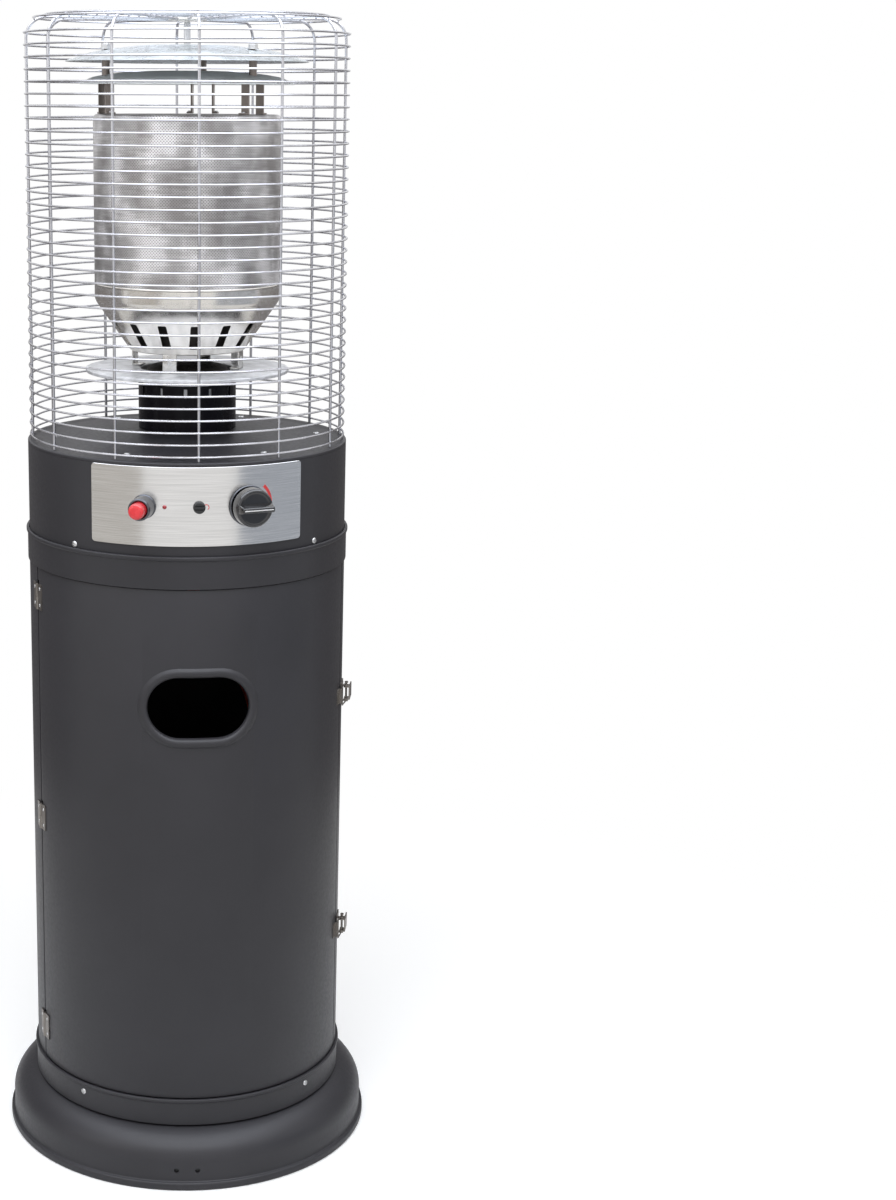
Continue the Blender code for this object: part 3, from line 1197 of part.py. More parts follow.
def make_latch(name, height, door_axis):
    """A draw latch: a base with ears on the rear shell, a lever, a wire bail, and a keeper."""
    azimuth = SEAM_AZIMUTH + math.degrees(FACET) / 2
    station = empty(f"{name}_station", around(azimuth, FACET_RADIUS, height), azimuth)
    seat = -(CLEARANCE + LATCH_SHEET / 2)
    ear_top = LATCH_PIVOT_OUT + LATCH_EAR_REACH
    base = box(f"latch_base_{name}", (LATCH_BASE_LENGTH, LATCH_SHEET, LATCH_BASE_HEIGHT),
               (LATCH_PIVOT_ALONG - LATCH_BASE_AHEAD + LATCH_BASE_LENGTH / 2, seat, 0))
    for side in (-1, 1):
        ear = box(f"{name}_ear_{side}", (2 * LATCH_EAR_REACH, ear_top + seat, LATCH_SHEET),
                  (LATCH_PIVOT_ALONG, (seat - ear_top) / 2, side * (LATCH_EAR_SPREAD - LATCH_SHEET / 2)))
        join(base, ear)
    pivot = Vector((LATCH_PIVOT_ALONG, -LATCH_PIVOT_OUT, 0))
    spread = (LATCH_EAR_SPREAD - LATCH_SHEET / 2) * Z_AXIS
    join(base, rod(f"{name}_pin", LATCH_PIN_RADIUS, pivot - spread, pivot + spread, TINY_STEPS))
    base.parent = station
    make_part(base, "zinc")

    length = LATCH_LEVER_LENGTH + LATCH_LEVER_NOSE
    lever = box(f"latch_lever_{name}", (length, LATCH_SHEET, LATCH_LEVER_WIDTH),
                (length / 2 - LATCH_LEVER_NOSE, -LATCH_LEVER_OUT - LATCH_SHEET / 2, 0))
    cheek_length = LATCH_CHEEK_REACH + LATCH_LEVER_NOSE
    cheek_height = LATCH_LEVER_OUT + LATCH_CHEEK_DROP + LATCH_SHEET / 2
    for side in (-1, 1):
        cheek = box(f"{name}_cheek_{side}", (cheek_length, cheek_height, LATCH_SHEET),
                    (cheek_length / 2 - LATCH_LEVER_NOSE, LATCH_CHEEK_DROP - cheek_height / 2,
                     side * (LATCH_LEVER_WIDTH - LATCH_SHEET) / 2))
        join(lever, cheek)
    link = LATCH_LINK * X_AXIS
    reach = (LATCH_BAIL_SPREAD + LATCH_BAIL_WIRE_RADIUS + CLEARANCE) * Z_AXIS
    join(lever, rod(f"{name}_bail_pin", LATCH_PIN_RADIUS, link - reach, link + reach, TINY_STEPS))
    bore = LATCH_PIN_RADIUS + CLEARANCE
    width = LATCH_LEVER_WIDTH * Z_AXIS
    cut(lever, rod(f"{name}_lever_bore", bore, -width, width, TINY_STEPS))
    lever.parent = station
    lever.location = pivot
    make_part(lever, "zinc")

    corners = [(0, 0, -LATCH_BAIL_SPREAD), (-LATCH_BAIL_REACH, LATCH_BAIL_DROP, -LATCH_BAIL_SPREAD),
               (-LATCH_BAIL_REACH, LATCH_BAIL_DROP, LATCH_BAIL_SPREAD), (0, 0, LATCH_BAIL_SPREAD)]
    bail = to_mesh(tube(f"latch_bail_{name}", corners, LATCH_BAIL_WIRE_RADIUS))
    for side in (-1, 1):
        middle = side * LATCH_BAIL_SPREAD
        inner = Vector((0, 0, middle - LATCH_BAIL_WIRE_RADIUS))
        outer = Vector((0, 0, middle + LATCH_BAIL_WIRE_RADIUS))
        join(bail, rod(f"{name}_eye_{side}", LATCH_EYE_RADIUS, inner, outer, TINY_STEPS))
    cut(bail, rod(f"{name}_bail_bore", bore, -width, width, TINY_STEPS))
    bail.parent = lever
    bail.location = link
    make_part(bail, "zinc")

    across = LATCH_PIVOT_ALONG + LATCH_LINK - LATCH_BAIL_REACH
    out = FACET_RADIUS + LATCH_PIVOT_OUT - LATCH_BAIL_DROP
    along = across * math.cos(FACET) + out * math.sin(FACET)
    level = out * math.cos(FACET) - across * math.sin(FACET) - FACET_RADIUS
    lip_front = along - LATCH_BAIL_WIRE_RADIUS - KEEPER_LIP_GAP
    lip_height = level + KEEPER_LIP_RISE - CLEARANCE
    plate_length = KEEPER_LENGTH + KEEPER_LIP_SHEET
    keeper = box(f"latch_keeper_{name}", (plate_length, LATCH_SHEET, KEEPER_HEIGHT),
                 (lip_front - plate_length / 2, seat, 0))
    join(keeper, box(f"{name}_lip", (KEEPER_LIP_SHEET, lip_height, KEEPER_HEIGHT),
                     (lip_front - KEEPER_LIP_SHEET / 2, -CLEARANCE - lip_height / 2, 0)))
    stand(keeper, azimuth - math.degrees(FACET), FACET_RADIUS, height)
    hang(make_part(keeper, "zinc"), door_axis)


def make_hose():
    """The gas hose inside the housing, its nut at the inlet, and the regulator at its other end."""
    inlet = around(180, INLET_RADIUS_FROM_AXIS)
    nut_top = inlet + (FLOOR_BOTTOM - CLEARANCE) * Z_AXIS
    nut_bottom = nut_top - HOSE_NUT_HEIGHT * Z_AXIS
    nut = rod("hose_nut", HOSE_NUT_RADIUS, nut_bottom, nut_top, 6)
    join(nut, rod("hose_ferrule", FERRULE_RADIUS, nut_bottom - FERRULE_LENGTH * Z_AXIS,
                  nut_bottom + OVERRUN * Z_AXIS))
    cut(nut, rod("nut_thread", INLET_THREAD_RADIUS + CLEARANCE,
                 nut_top - (INLET_THREAD_LENGTH + CLEARANCE) * Z_AXIS, nut_top + OVERRUN * Z_AXIS))
    make_part(nut, "brass")

    level = PAN_TOP + PAN_RING_RISE + CLEARANCE + BOTTLE_NUT_RADIUS
    across, back = REGULATOR_PLACE_SHARES
    centre = Vector((BODY_RADIUS * across, BODY_RADIUS * back, level))
    half_rim = REGULATOR_RIM / 2
    cone_top = half_rim + REGULATOR_CONE_RISE
    body = turned("regulator", [
        (0, cone_top + REGULATOR_CAP_RISE), (REGULATOR_CAP_RADIUS, cone_top + REGULATOR_CAP_RISE),
        (REGULATOR_CAP_RADIUS, cone_top), (REGULATOR_RADIUS, half_rim),
        (REGULATOR_RADIUS, -half_rim), (REGULATOR_BOWL_SHOULDER, -REGULATOR_BOWL_EDGE),
        (REGULATOR_BOWL_RADIUS, -BOTTLE_NUT_RADIUS), (0, -BOTTLE_NUT_RADIUS)], MIDDLE_STEPS)
    hex_end = REGULATOR_RADIUS + REGULATOR_PORT_HEX_LENGTH
    inside = REGULATOR_BOWL_RADIUS * Y_AXIS
    join(body,
         rod("port_hex", REGULATOR_PORT_HEX_RADIUS, inside, hex_end * Y_AXIS, 6),
         rod("port_ferrule", FERRULE_RADIUS, inside, (hex_end + FERRULE_LENGTH) * Y_AXIS),
         rod("bottle_port", FERRULE_RADIUS, -inside, -(REGULATOR_RADIUS + CLEARANCE) * Y_AXIS))
    body.location = centre
    make_part(body, "stainless")

    hose_start = nut_bottom - (FERRULE_LENGTH + CLEARANCE) * Z_AXIS
    hose_end = centre + (hex_end + FERRULE_LENGTH + CLEARANCE) * Y_AXIS
    lead = hose_start.z - HOSE_LEAD
    route = [(BODY_RADIUS * across, BODY_RADIUS * back, level + (lead - level) * up)
             for across, back, up in HOSE_ROUTE_SHARES]
    points = [hose_start, *smooth_points(route, HOSE_STEPS), hose_end]
    make_part(tube("gas_hose", points, HOSE_RADIUS, HOSE_ROUND_STEPS), "hose")

    near = centre - (REGULATOR_RADIUS + 2 * CLEARANCE) * Y_AXIS
    far = near - BOTTLE_NUT_LENGTH * Y_AXIS
    bottle_nut = rod("bottle_nut", BOTTLE_NUT_RADIUS, near, far)
    join(bottle_nut, rod("bottle_nipple", BOTTLE_NIPPLE_RADIUS, near,
                         far - BOTTLE_NIPPLE_LENGTH * Y_AXIS))
    make_part(bottle_nut, "brass")


def make_heater():
    make_base()
    make_hoop("lower_hoop", BASE_HEIGHT + CLEARANCE, DOOR_BOTTOM - DOOR_EDGE_GAP)
    make_hoop("upper_hoop", DOOR_TOP + DOOR_EDGE_GAP, BEAD_TOP)
    door_axis = empty("door_axis", HINGE_PLACE)
    hang(make_housing(), door_axis)
    make_hinges(door_axis)
    for name, height in zip(("upper", "lower"), LATCH_HEIGHTS):
        make_latch(name, height, door_axis)

    make_head(make_control_holes())
    valve_rear = make_knob()
    make_igniter()
    make_lamp_and_cap()
    make_gas_pipes(valve_rear)
    make_hose()

    make_burner()
    make_flame_cone()
    make_emitter()
    make_guard(make_reflectors())


clear_scene()
parts = new_collection("patio_heater")
cutters = new_collection("patio_heater_cutters")
make_heater()
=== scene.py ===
"""The looks of a cylindrical gas patio heater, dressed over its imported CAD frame.

Metres, +Z up, the heater's axis on the origin and its front facing -Y. An azimuth is measured from
the front in degrees, positive towards +X. A profile is a list of corners, each (radius, height) or
(radius, height, rounding).
"""

from math import acos, atan2, cos, degrees, radians, sin, sqrt, tau

import bmesh
import bpy
from mathutils import Matrix, Vector


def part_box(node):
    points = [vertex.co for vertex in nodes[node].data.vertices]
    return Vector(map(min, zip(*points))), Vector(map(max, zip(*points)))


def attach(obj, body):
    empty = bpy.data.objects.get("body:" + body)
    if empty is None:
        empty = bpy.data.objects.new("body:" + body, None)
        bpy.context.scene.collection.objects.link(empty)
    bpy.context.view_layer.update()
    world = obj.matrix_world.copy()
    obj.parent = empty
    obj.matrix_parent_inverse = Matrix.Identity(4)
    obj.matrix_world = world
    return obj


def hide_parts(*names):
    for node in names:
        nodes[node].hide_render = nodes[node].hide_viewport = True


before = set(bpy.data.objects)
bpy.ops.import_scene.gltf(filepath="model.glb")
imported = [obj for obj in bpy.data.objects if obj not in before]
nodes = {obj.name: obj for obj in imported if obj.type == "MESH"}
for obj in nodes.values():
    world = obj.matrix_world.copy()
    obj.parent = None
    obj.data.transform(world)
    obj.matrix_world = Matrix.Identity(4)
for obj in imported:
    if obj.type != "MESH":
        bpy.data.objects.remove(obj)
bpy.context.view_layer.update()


def levels(name):
    """The heights of a node's bottom and top."""
    return [corner.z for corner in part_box(name)]


# Sizes and places from the frame's solids
BODY_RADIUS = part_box("rear_shell")[1].x
DOOR_BOTTOM, DOOR_TOP = levels("door_panel")
HEAD_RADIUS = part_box("head_shell")[1].x
PANEL_BOTTOM, PANEL_TOP = levels("control_panel")
PANEL_RADIUS = -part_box("control_panel")[0].y
CONTROL_LEVEL = (PANEL_BOTTOM + PANEL_TOP) / 2

# Other sizes and places that the solids have too
SHEET = 0.0012
HINGE_X, HINGE_Y = -0.18298, -0.05945
SEAM_FRONT_GAP, SEAM_REAR_GAP = 0.001, 0.0016
HOLE_LEVEL = DOOR_TOP - 0.1405
HOLE_WIDTH, HOLE_HEIGHT = 0.118, 0.073
PANEL_HALF_AZIMUTH = 38.3
KNOB_AZIMUTH, IGNITER_AZIMUTH, LAMP_AZIMUTH, CAP_AZIMUTH = 17.0, -18.6, -11.6, 0.0
POST_RADIUS = 0.0985
POST_AZIMUTHS = (-75.0, 45.0, 165.0)
GUARD_TOP = 1.37
LEAF_RADIUS = 0.1937         # to the outside of the hinges' and latches' leaves

# Facets round a full turn
FINE = 160
MIDDLE = 64
SMALL = 32

WELD = 0.000002              # corners closer than this are one


def at(x, y, z):
    """A frame moved from the origin."""
    return Matrix.Translation((x, y, z))


def turned(angle, axis="Z"):
    """A frame turned about an axis by an angle in degrees."""
    return Matrix.Rotation(radians(angle), 4, axis)


def around(azimuth, radius, height=0.0):
    """The point at an azimuth, a radius from the axis and a height."""
    angle = radians(azimuth)
    return Vector((radius * sin(angle), -radius * cos(angle), height))


def facing(azimuth, radius=0.0, height=0.0):
    """A frame whose Z axis points out of the heater at an azimuth, and whose Y axis points up."""
    outward = around(azimuth, 1)
    up = Vector((0, 0, 1))
    turn = Matrix((up.cross(outward), up, outward)).transposed().to_4x4()
    return at(*around(azimuth, radius, height)) @ turn


def standing(azimuth, radius=0.0, height=0.0):
    """A frame whose Z axis points up and whose -Y axis points out of the heater."""
    return at(*around(azimuth, radius, height)) @ turned(azimuth)


def new_piece(name, shape, sharp):
    """An object from a bmesh, sharp where it bends by more than an angle."""
    mesh = bpy.data.meshes.new(name)
    shape.to_mesh(mesh)
    shape.free()
    mesh.shade_smooth()
    mesh.set_sharp_from_angle(angle=radians(sharp))
    piece = bpy.data.objects.new(name, mesh)
    bpy.context.scene.collection.objects.link(piece)
    return piece


def from_shape(name, shape, sharp=40, place=None):
    """An object from a bmesh whose corners are welded and whose faces are turned outwards."""
    bmesh.ops.remove_doubles(shape, verts=shape.verts, dist=WELD)
    bmesh.ops.dissolve_degenerate(shape, dist=WELD / 2, edges=shape.edges)
    bmesh.ops.recalc_face_normals(shape, faces=shape.faces)
    if place is not None:
        shape.transform(place)
    return new_piece(name, shape, sharp)


def grid(shape, rows, wrap_rows=False, wrap_columns=False):
    """Adds quads between rows of points, each row of the same length."""
    made = [[shape.verts.new(point) for point in row] for row in rows]
    height, width = len(made), len(made[0])
    for i in range(height if wrap_rows else height - 1):
        for j in range(width if wrap_columns else width - 1):
            a, b = made[i], made[(i + 1) % height]
            shape.faces.new((a[j], b[j], b[(j + 1) % width], a[(j + 1) % width]))
    return made


def solid(name, rows, sharp=40, place=None):
    """An object between closed rows of points, with a face at each end."""
    shape = bmesh.new()
    made = grid(shape, rows, wrap_columns=True)
    shape.faces.new(made[0])
    shape.faces.new(made[-1])
    return from_shape(name, shape, sharp, place)


def rounded(corners, steps=4):
    """The points of a closed profile, with its corners rounded."""
    reach = 0.49             # at most, of the way to the next corner
    points = []
    count = len(corners)
    for number, corner in enumerate(corners):
        radius, height, rounding = (*corner, 0)[:3]
        here = Vector((radius, height))
        if not rounding:
            points.append(here)
            continue
        before = Vector(corners[number - 1][:2]) - here
        after = Vector(corners[(number + 1) % count][:2]) - here
        start = here + before.normalized() * min(rounding, before.length * reach)
        end = here + after.normalized() * min(rounding, after.length * reach)
        for step in range(steps + 1):
            t = step / steps
            points.append(start * (1 - t) ** 2 + here * 2 * t * (1 - t) + end * t ** 2)
    return points


def lathe(name, corners, steps=FINE, place=None, round_steps=4, closed=True):
    """A closed profile turned round the Z axis."""
    profile = rounded(corners, round_steps)
    turns = [tau * step / steps for step in range(steps)]
    shape = bmesh.new()
    grid(shape, [[(x * cos(turn), x * sin(turn), z) for x, z in profile] for turn in turns], True, closed)
    return from_shape(name, shape, 40, place)


def spindle(name, corners, steps=SMALL, place=None, round_steps=4):
    """A profile that starts and ends on the Z axis, turned round it."""
    return lathe(name, corners, steps, place, round_steps, closed=False)


def disc(name, radius, bottom, top, rounding=0.0, place=None):
    return spindle(name, [(0, top), (radius, top, rounding), (radius, bottom, rounding), (0, bottom)],
                   place=place)


def block(name, size, place, edge=0.0, segments=2):
    """A box with rounded edges, in a frame."""
    shape = bmesh.new()
    bmesh.ops.create_cube(shape, size=1, matrix=Matrix.Diagonal((*size, 1)))
    if edge:
        bmesh.ops.bevel(shape, geom=list(shape.edges), offset=edge, segments=segments,
                        profile=0.5, affect="EDGES")
    return from_shape(name, shape, 40, place)


def wires(name, paths, radius, sides):
    """Round wires along lists of points, as one mesh."""
    made = []
    for path in paths:
        points = [Vector(point) for point in path]
        normal = (points[1] - points[0]).normalized().orthogonal().normalized()
        rows = []
        for behind, point, ahead in zip([points[0], *points], points, [*points[1:], points[-1]]):
            run = (ahead - behind).normalized()
            normal = (normal - run * normal.dot(run)).normalized()
            side = run.cross(normal)
            rows.append([point + radius * (normal * cos(tau * k / sides) + side * sin(tau * k / sides))
                         for k in range(sides)])
        made.append(solid("wire", rows))
    return joined(name, made)


def ring_wires(name, circles, wire, sides=8):
    """Level round wires, one for each (radius, height), as one mesh."""
    section = [(wire * cos(tau * k / sides), wire * sin(tau * k / sides)) for k in range(sides)]
    return joined(name, [lathe("ring", [(radius + out, height + up) for out, up in section])
                         for radius, height in circles])


def smooth_path(route, between):
    """Points on a smooth curve through a route's own points, between more in each span."""
    knots = [Vector(point) for point in route]
    knots = [2 * knots[0] - knots[1], *knots, 2 * knots[-1] - knots[-2]]
    points = []
    for before, start, end, after in zip(knots, knots[1:], knots[2:], knots[3:]):
        for step in range(between + 1):
            t = step / (between + 1)
            points.append(
                start + (end - before) * t / 2
                + (2 * before - 5 * start + 4 * end - after) * t**2 / 2
                + (3 * start - before - 3 * end + after) * t**3 / 2)
    return [*points, knots[-2]]


def cut(piece, cutters):
    """Cuts each cutter out of a piece, and removes the cutters."""
    for cutter in cutters:
        step = piece.modifiers.new("Cut", "BOOLEAN")
        step.operation = "DIFFERENCE"
        step.solver = "EXACT"
        step.object = cutter
    bpy.context.view_layer.update()
    whole = piece.evaluated_get(bpy.context.evaluated_depsgraph_get())
    mesh = bpy.data.meshes.new_from_object(whole)
    piece.modifiers.clear()
    piece.data = mesh
    for cutter in cutters:
        bpy.data.objects.remove(cutter)
    mesh.shade_smooth()
    mesh.set_sharp_from_angle(angle=radians(35))
    return piece


def joined(name, pieces):
    """Joins meshes into one object without fusing their surfaces."""
    shape = bmesh.new()
    for piece in pieces:
        shape.from_mesh(piece.data)
        bpy.data.objects.remove(piece)
    return new_piece(name, shape, 40)


def dress(piece, material, *stands_for, body="heater"):
    """Gives a piece its material, its body and the nodes it stands for."""
    piece.data.materials.clear()
    piece.data.materials.append(material)
    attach(piece, body)
    if stands_for:
        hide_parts(*stands_for)
    return piece


# Materials

def new_material(name, colour, metallic, roughness, **sockets):
    """A Principled material: the sockets that stay the same all over it are set here."""
    material = bpy.data.materials.new(name)
    material.use_nodes = True
    shader = material.node_tree.nodes["Principled BSDF"]
    shader.inputs["Base Color"].default_value = (*colour, 1)
    shader.inputs["Metallic"].default_value = metallic
    shader.inputs["Roughness"].default_value = roughness
    for socket, value in sockets.items():
        shader.inputs[socket.replace("_", " ")].default_value = value
    return material


def node(tree, kind, **values):
    made = tree.nodes.new("ShaderNode" + kind)
    for name, value in values.items():
        setattr(made, name, value)
    return made


SPREAD = (0.3, 0.7)          # where on a noise's scale a look starts and stops changing


def noise(tree, scale, detail, stretch=(1, 1, 1)):
    """Noise over the object's own place, finer along an axis with a larger stretch."""
    where = node(tree, "TexCoord")
    mapping = node(tree, "Mapping")
    mapping.inputs["Scale"].default_value = stretch
    made = node(tree, "TexNoise")
    made.inputs["Scale"].default_value = scale
    made.inputs["Detail"].default_value = detail
    tree.links.new(where.outputs["Object"], mapping.inputs["Vector"])
    tree.links.new(mapping.outputs["Vector"], made.inputs["Vector"])
    return made.outputs["Fac"]


def math_node(tree, operation, *values):
    """The result of an operation on numbers and other nodes' results."""
    made = node(tree, "Math", operation=operation)
    for socket, value in zip(made.inputs, values):
        if isinstance(value, (int, float)):
            socket.default_value = value
        else:
            tree.links.new(value, socket)
    return made.outputs[0]


def ramp(tree, value, stops):
    """Colours, or greys, at places from 0 to 1."""
    made = node(tree, "ValToRGB")
    while len(made.color_ramp.elements) < len(stops):
        made.color_ramp.elements.new(0.5)
    for element, (place, colour) in zip(made.color_ramp.elements, stops):
        element.position = place
        element.color = (*colour, 1) if isinstance(colour, tuple) else (colour, colour, colour, 1)
    tree.links.new(value, made.inputs["Fac"])
    return made.outputs["Color"]


def add_bump(material, value, depth, strength):
    tree = material.node_tree
    made = node(tree, "Bump")
    made.inputs["Distance"].default_value = depth
    made.inputs["Strength"].default_value = strength
    tree.links.new(value, made.inputs["Height"])
    tree.links.new(made.outputs["Normal"], tree.nodes["Principled BSDF"].inputs["Normal"])


def textured(name, colour, metallic, roughness, tint, gloss, grain, **sockets):
    """A material whose colour and roughness vary between shares of their own values, with a bump.

    tint and gloss are (noise, lowest share, highest share) and grain is (noise, depth, strength),
    where a noise is (scale, detail) or (scale, detail, stretch).
    """
    made = new_material(name, colour, metallic, roughness, **sockets)
    tree = made.node_tree
    shader = tree.nodes["Principled BSDF"]
    for socket, own, (texture, *shares) in (
            ("Base Color", colour, tint), ("Roughness", (roughness,) * 3, gloss)):
        ends = [tuple(part * share for part in own) for share in shares]
        tree.links.new(ramp(tree, noise(tree, *texture), [*zip(SPREAD, ends)]), shader.inputs[socket])
    texture, depth, strength = grain
    add_bump(made, noise(tree, *texture), depth, strength)
    return made


def powder_coat(name, colour):
    """Satin powder coat with a fine orange-peel texture and a slight cloudiness."""
    return textured(name, colour, 0.0, 0.42, ((9, 4), 0.9, 1.1), ((260, 3), 0.881, 1.119),
                    ((900, 2), 0.00005, 0.7), Specular_IOR_Level=0.38)


def brushed_steel(name, colour, roughness, stretch):
    """Brushed steel whose lines are fine across the stretched axes."""
    lines = (20, 6, stretch)
    return textured(name, colour, 1.0, roughness, (lines, 0.9, 1.06), (lines, 0.75, 1.3),
                    (lines, 0.00002, 0.6))


def plated(name, colour, roughness, metallic=1.0):
    """Bright plated or polished metal, with faint smears in its gloss."""
    smears = (45, 5)
    return textured(name, colour, metallic, roughness, (smears, 0.93, 1.04), (smears, 0.7, 1.4),
                    ((400, 3), 0.00001, 0.5))


def moulded(name, colour, roughness, coat=0.0, specular=0.5):
    """Moulded plastic or enamel: a smooth skin with a trace of unevenness."""
    cloud = (60, 3)
    return textured(name, colour, 0.0, roughness, (cloud, 0.92, 1.08), (cloud, 0.8, 1.25),
                    ((700, 3), 0.00001, 0.4), Coat_Weight=coat, Coat_Roughness=0.05,
                    Specular_IOR_Level=specular)


def cast(name, colour, metallic, roughness, grain):
    """A cast surface with a visible grain."""
    return textured(name, colour, metallic, roughness, ((80, 5), 0.75, 1.2), ((300, 3), 0.85, 1.15),
                    ((650, 3), grain, 0.8))


def perforated(name, radius, pitch):
    """Heat-tinted sheet with staggered round holes, and the soft vertical streaks that they make."""
    made = new_material(name, (0.36, 0.34, 0.33), 0.8, 0.42)
    tree = made.node_tree
    where = node(tree, "TexCoord")
    parts = node(tree, "SeparateXYZ")
    tree.links.new(where.outputs["Object"], parts.inputs[0])
    turn = math_node(tree, "ARCTAN2", parts.outputs["X"], parts.outputs["Y"])
    holes_round = round(tau * radius / pitch)
    across = math_node(tree, "COSINE", math_node(tree, "MULTIPLY", turn, holes_round))
    up = math_node(tree, "COSINE", math_node(tree, "MULTIPLY", parts.outputs["Z"], tau / pitch))
    dots = math_node(tree, "MULTIPLY", across, up)
    streaks = noise(tree, 26, 4, (1, 1, 0.55))
    weave = noise(tree, 210, 2, (0.16, 0.16, 1.4))
    blended = math_node(tree, "MULTIPLY_ADD", streaks, 0.8, math_node(tree, "MULTIPLY", weave, 0.2))
    sheet = ramp(tree, blended, [(0.38, (0.29, 0.275, 0.27)), (0.5, (0.48, 0.465, 0.46)),
                                 (0.62, (0.8, 0.78, 0.78))])
    mixed = node(tree, "Mix", data_type="RGBA")
    tree.links.new(ramp(tree, dots, [(0.3, 0.0), (0.55, 1.0)]), mixed.inputs["Factor"])
    tree.links.new(sheet, mixed.inputs["A"])
    mixed.inputs["B"].default_value = (0.17, 0.16, 0.155, 1)
    shader = tree.nodes["Principled BSDF"]
    tree.links.new(mixed.outputs["Result"], shader.inputs["Base Color"])
    tree.links.new(ramp(tree, streaks, [*zip(SPREAD, (0.34, 0.52))]), shader.inputs["Roughness"])
    add_bump(made, math_node(tree, "SUBTRACT", 1.0, dots), 0.0001, 0.3)
    return made


COAT = powder_coat("charcoal_coat", (0.029, 0.028, 0.032))
PANEL_STEEL = brushed_steel("panel_steel", (0.78, 0.77, 0.76), 0.2, (0.6, 0.6, 60))
SHEET_STEEL = brushed_steel("sheet_steel", (0.66, 0.65, 0.63), 0.22, (4, 4, 4))
CONE_STEEL = plated("cone_steel", (0.8, 0.77, 0.72), 0.19)
REFLECTOR = plated("reflector_steel", (0.6, 0.64, 0.66), 0.26)
# A paler, less metallic copy of the reflector steel, as painted light on the lower reflector, whose top lies
# in the upper reflector's shade.
PAINTED_LIGHT_REFLECTOR = plated("reflector_steel_with_painted_light", (0.9, 0.92, 0.92), 0.4, 0.3)
FLANGE_STEEL = cast("flange_steel", (0.8, 0.81, 0.84), 0.25, 0.34, 0.00001)
WIRE = plated("wire_zinc", (0.55, 0.55, 0.58), 0.24)
BRIGHT = plated("bright_zinc", (0.62, 0.62, 0.62), 0.3)
HARDWARE = plated("hardware_zinc", (0.25, 0.23, 0.21), 0.32)
DARK_CHROME = plated("dark_chrome", (0.12, 0.125, 0.14), 0.18)
GLOSS_BLACK = moulded("gloss_black", (0.004, 0.003, 0.007), 0.24, 0.0, 0.14)
KNOB_BLACK = moulded("knob_black", (0.01, 0.01, 0.012), 0.16, 0.8)
MATT_BLACK = moulded("matt_black", (0.014, 0.014, 0.015), 0.45)
RED = moulded("button_red", (0.8, 0.035, 0.045), 0.26, 0.5)
LAMP_RED = moulded("lamp_red", (0.34, 0.01, 0.016), 0.12, 1.0)
MARK_RED = moulded("mark_red", (0.7, 0.05, 0.05), 0.4)
# White for the line on the knob's grip: partly a pointer, partly a painted highlight on the grip's edge.
POINTER_AND_HIGHLIGHT_WHITE = moulded("pointer_and_highlight_white", (0.8, 0.8, 0.8), 0.4)
BRASS = plated("brass", (0.7, 0.48, 0.2), 0.3)
ALUMINIUM = cast("die_cast", (0.66, 0.66, 0.65), 1.0, 0.36, 0.00004)
IRON = cast("cast_iron", (0.045, 0.04, 0.036), 0.5, 0.65, 0.00012)
HOSE_RED = moulded("hose_red", (0.8, 0.105, 0.075), 0.38, 0.15)
BRACKET = plated("bracket_steel", (0.24, 0.21, 0.19), 0.34)
EMITTER = perforated("emitter_mesh", 0.11, 0.0036)


# Fasteners

def screw(place, radius=0.0038, height=0.0016):
    """A pan-head screw with a cross recess."""
    head = spindle("screw", [
        (0, height), (radius * 0.62, height * 0.92, radius * 0.2), (radius, height * 0.35, radius * 0.2),
        (radius, -height * 0.2), (0, -height * 0.2)])
    long, wide = radius * 1.1, radius * 0.24
    cut(head, [block("arm", (*size, height), at(0, 0, height)) for size in ((long, wide), (wide, long))])
    head.data.transform(place)
    return head


def screws(name, places, body="heater", **sizes):
    dress(joined(name, [screw(place, **sizes) for place in places]), BRIGHT, body=body)


def hexagon(name, radius, bottom, top, place=None):
    """A hexagon nut with chamfered corners, across its corners twice the radius."""
    chamfer = radius * 0.1
    slope = chamfer * 0.6
    rings = [(radius - chamfer, bottom), (radius, bottom + slope), (radius, top - slope),
             (radius - chamfer, top)]
    corners = [(cos(tau * k / 6), sin(tau * k / 6)) for k in range(6)]
    return solid(name, [[(reach * x, reach * y, z) for x, y in corners] for reach, z in rings], 25, place)


# Base and hoops

def make_base():
    """A long round shoulder, a short skirt and a rolled rim, with two holes in front and black discs behind
    them as painted shade.
    """
    rim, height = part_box("base_ring")[1].yz
    inside, shoulder, nose = BODY_RADIUS - 0.0274, BODY_RADIUS - 0.0174, 0.0495
    skirt, skirt_top, sheet = shoulder + nose, 0.034, 0.002
    rise = height - skirt_top
    quarter = [(sin(radians(turn)), cos(radians(turn))) for turn in range(0, 91, 5)]
    outer = [(shoulder + nose * out, skirt_top + rise * up) for out, up in quarter]
    inner = [(shoulder + (nose - sheet) * out, skirt_top + (rise - sheet) * up) for out, up in quarter[::-1]]
    base = lathe("base", [
        (inside, height), *outer, (skirt, 0.0106, 0.0016), (rim, 0.0098, 0.003), (rim, 0, 0.0034),
        (skirt - sheet, 0, 0.0006), *inner, (inside, height - sheet)], round_steps=10)
    places = [facing(azimuth, skirt, 0.025) for azimuth in (-7.3, -0.8)]
    cut(base, [disc("hole", 0.003, -0.006, 0.006, place=place) for place in places])
    dress(base, COAT, "base_ring")
    # Black discs just behind the two holes: painted shade for the dark inside of the base.
    hole_shade_discs = [disc("hole_shade_disc", 0.005, -0.0045, -0.003, 0.0004, place) for place in places]
    dress(joined("base_hole_shade_discs", hole_shade_discs), MATT_BLACK)


def make_hoop(name, node_name):
    bottom, top = levels(node_name)
    inside, outside, bead = BODY_RADIUS + 0.0003, BODY_RADIUS + 0.0018, BODY_RADIUS + 0.0034
    hoop = lathe(name, [(inside, top), (bead, top, 0.0014), (bead, top - 0.0042, 0.0014),
                        (outside, top - 0.005, 0.0006), (outside, bottom, 0.0005), (inside, bottom)])
    dress(hoop, COAT, node_name)


# Bottle housing

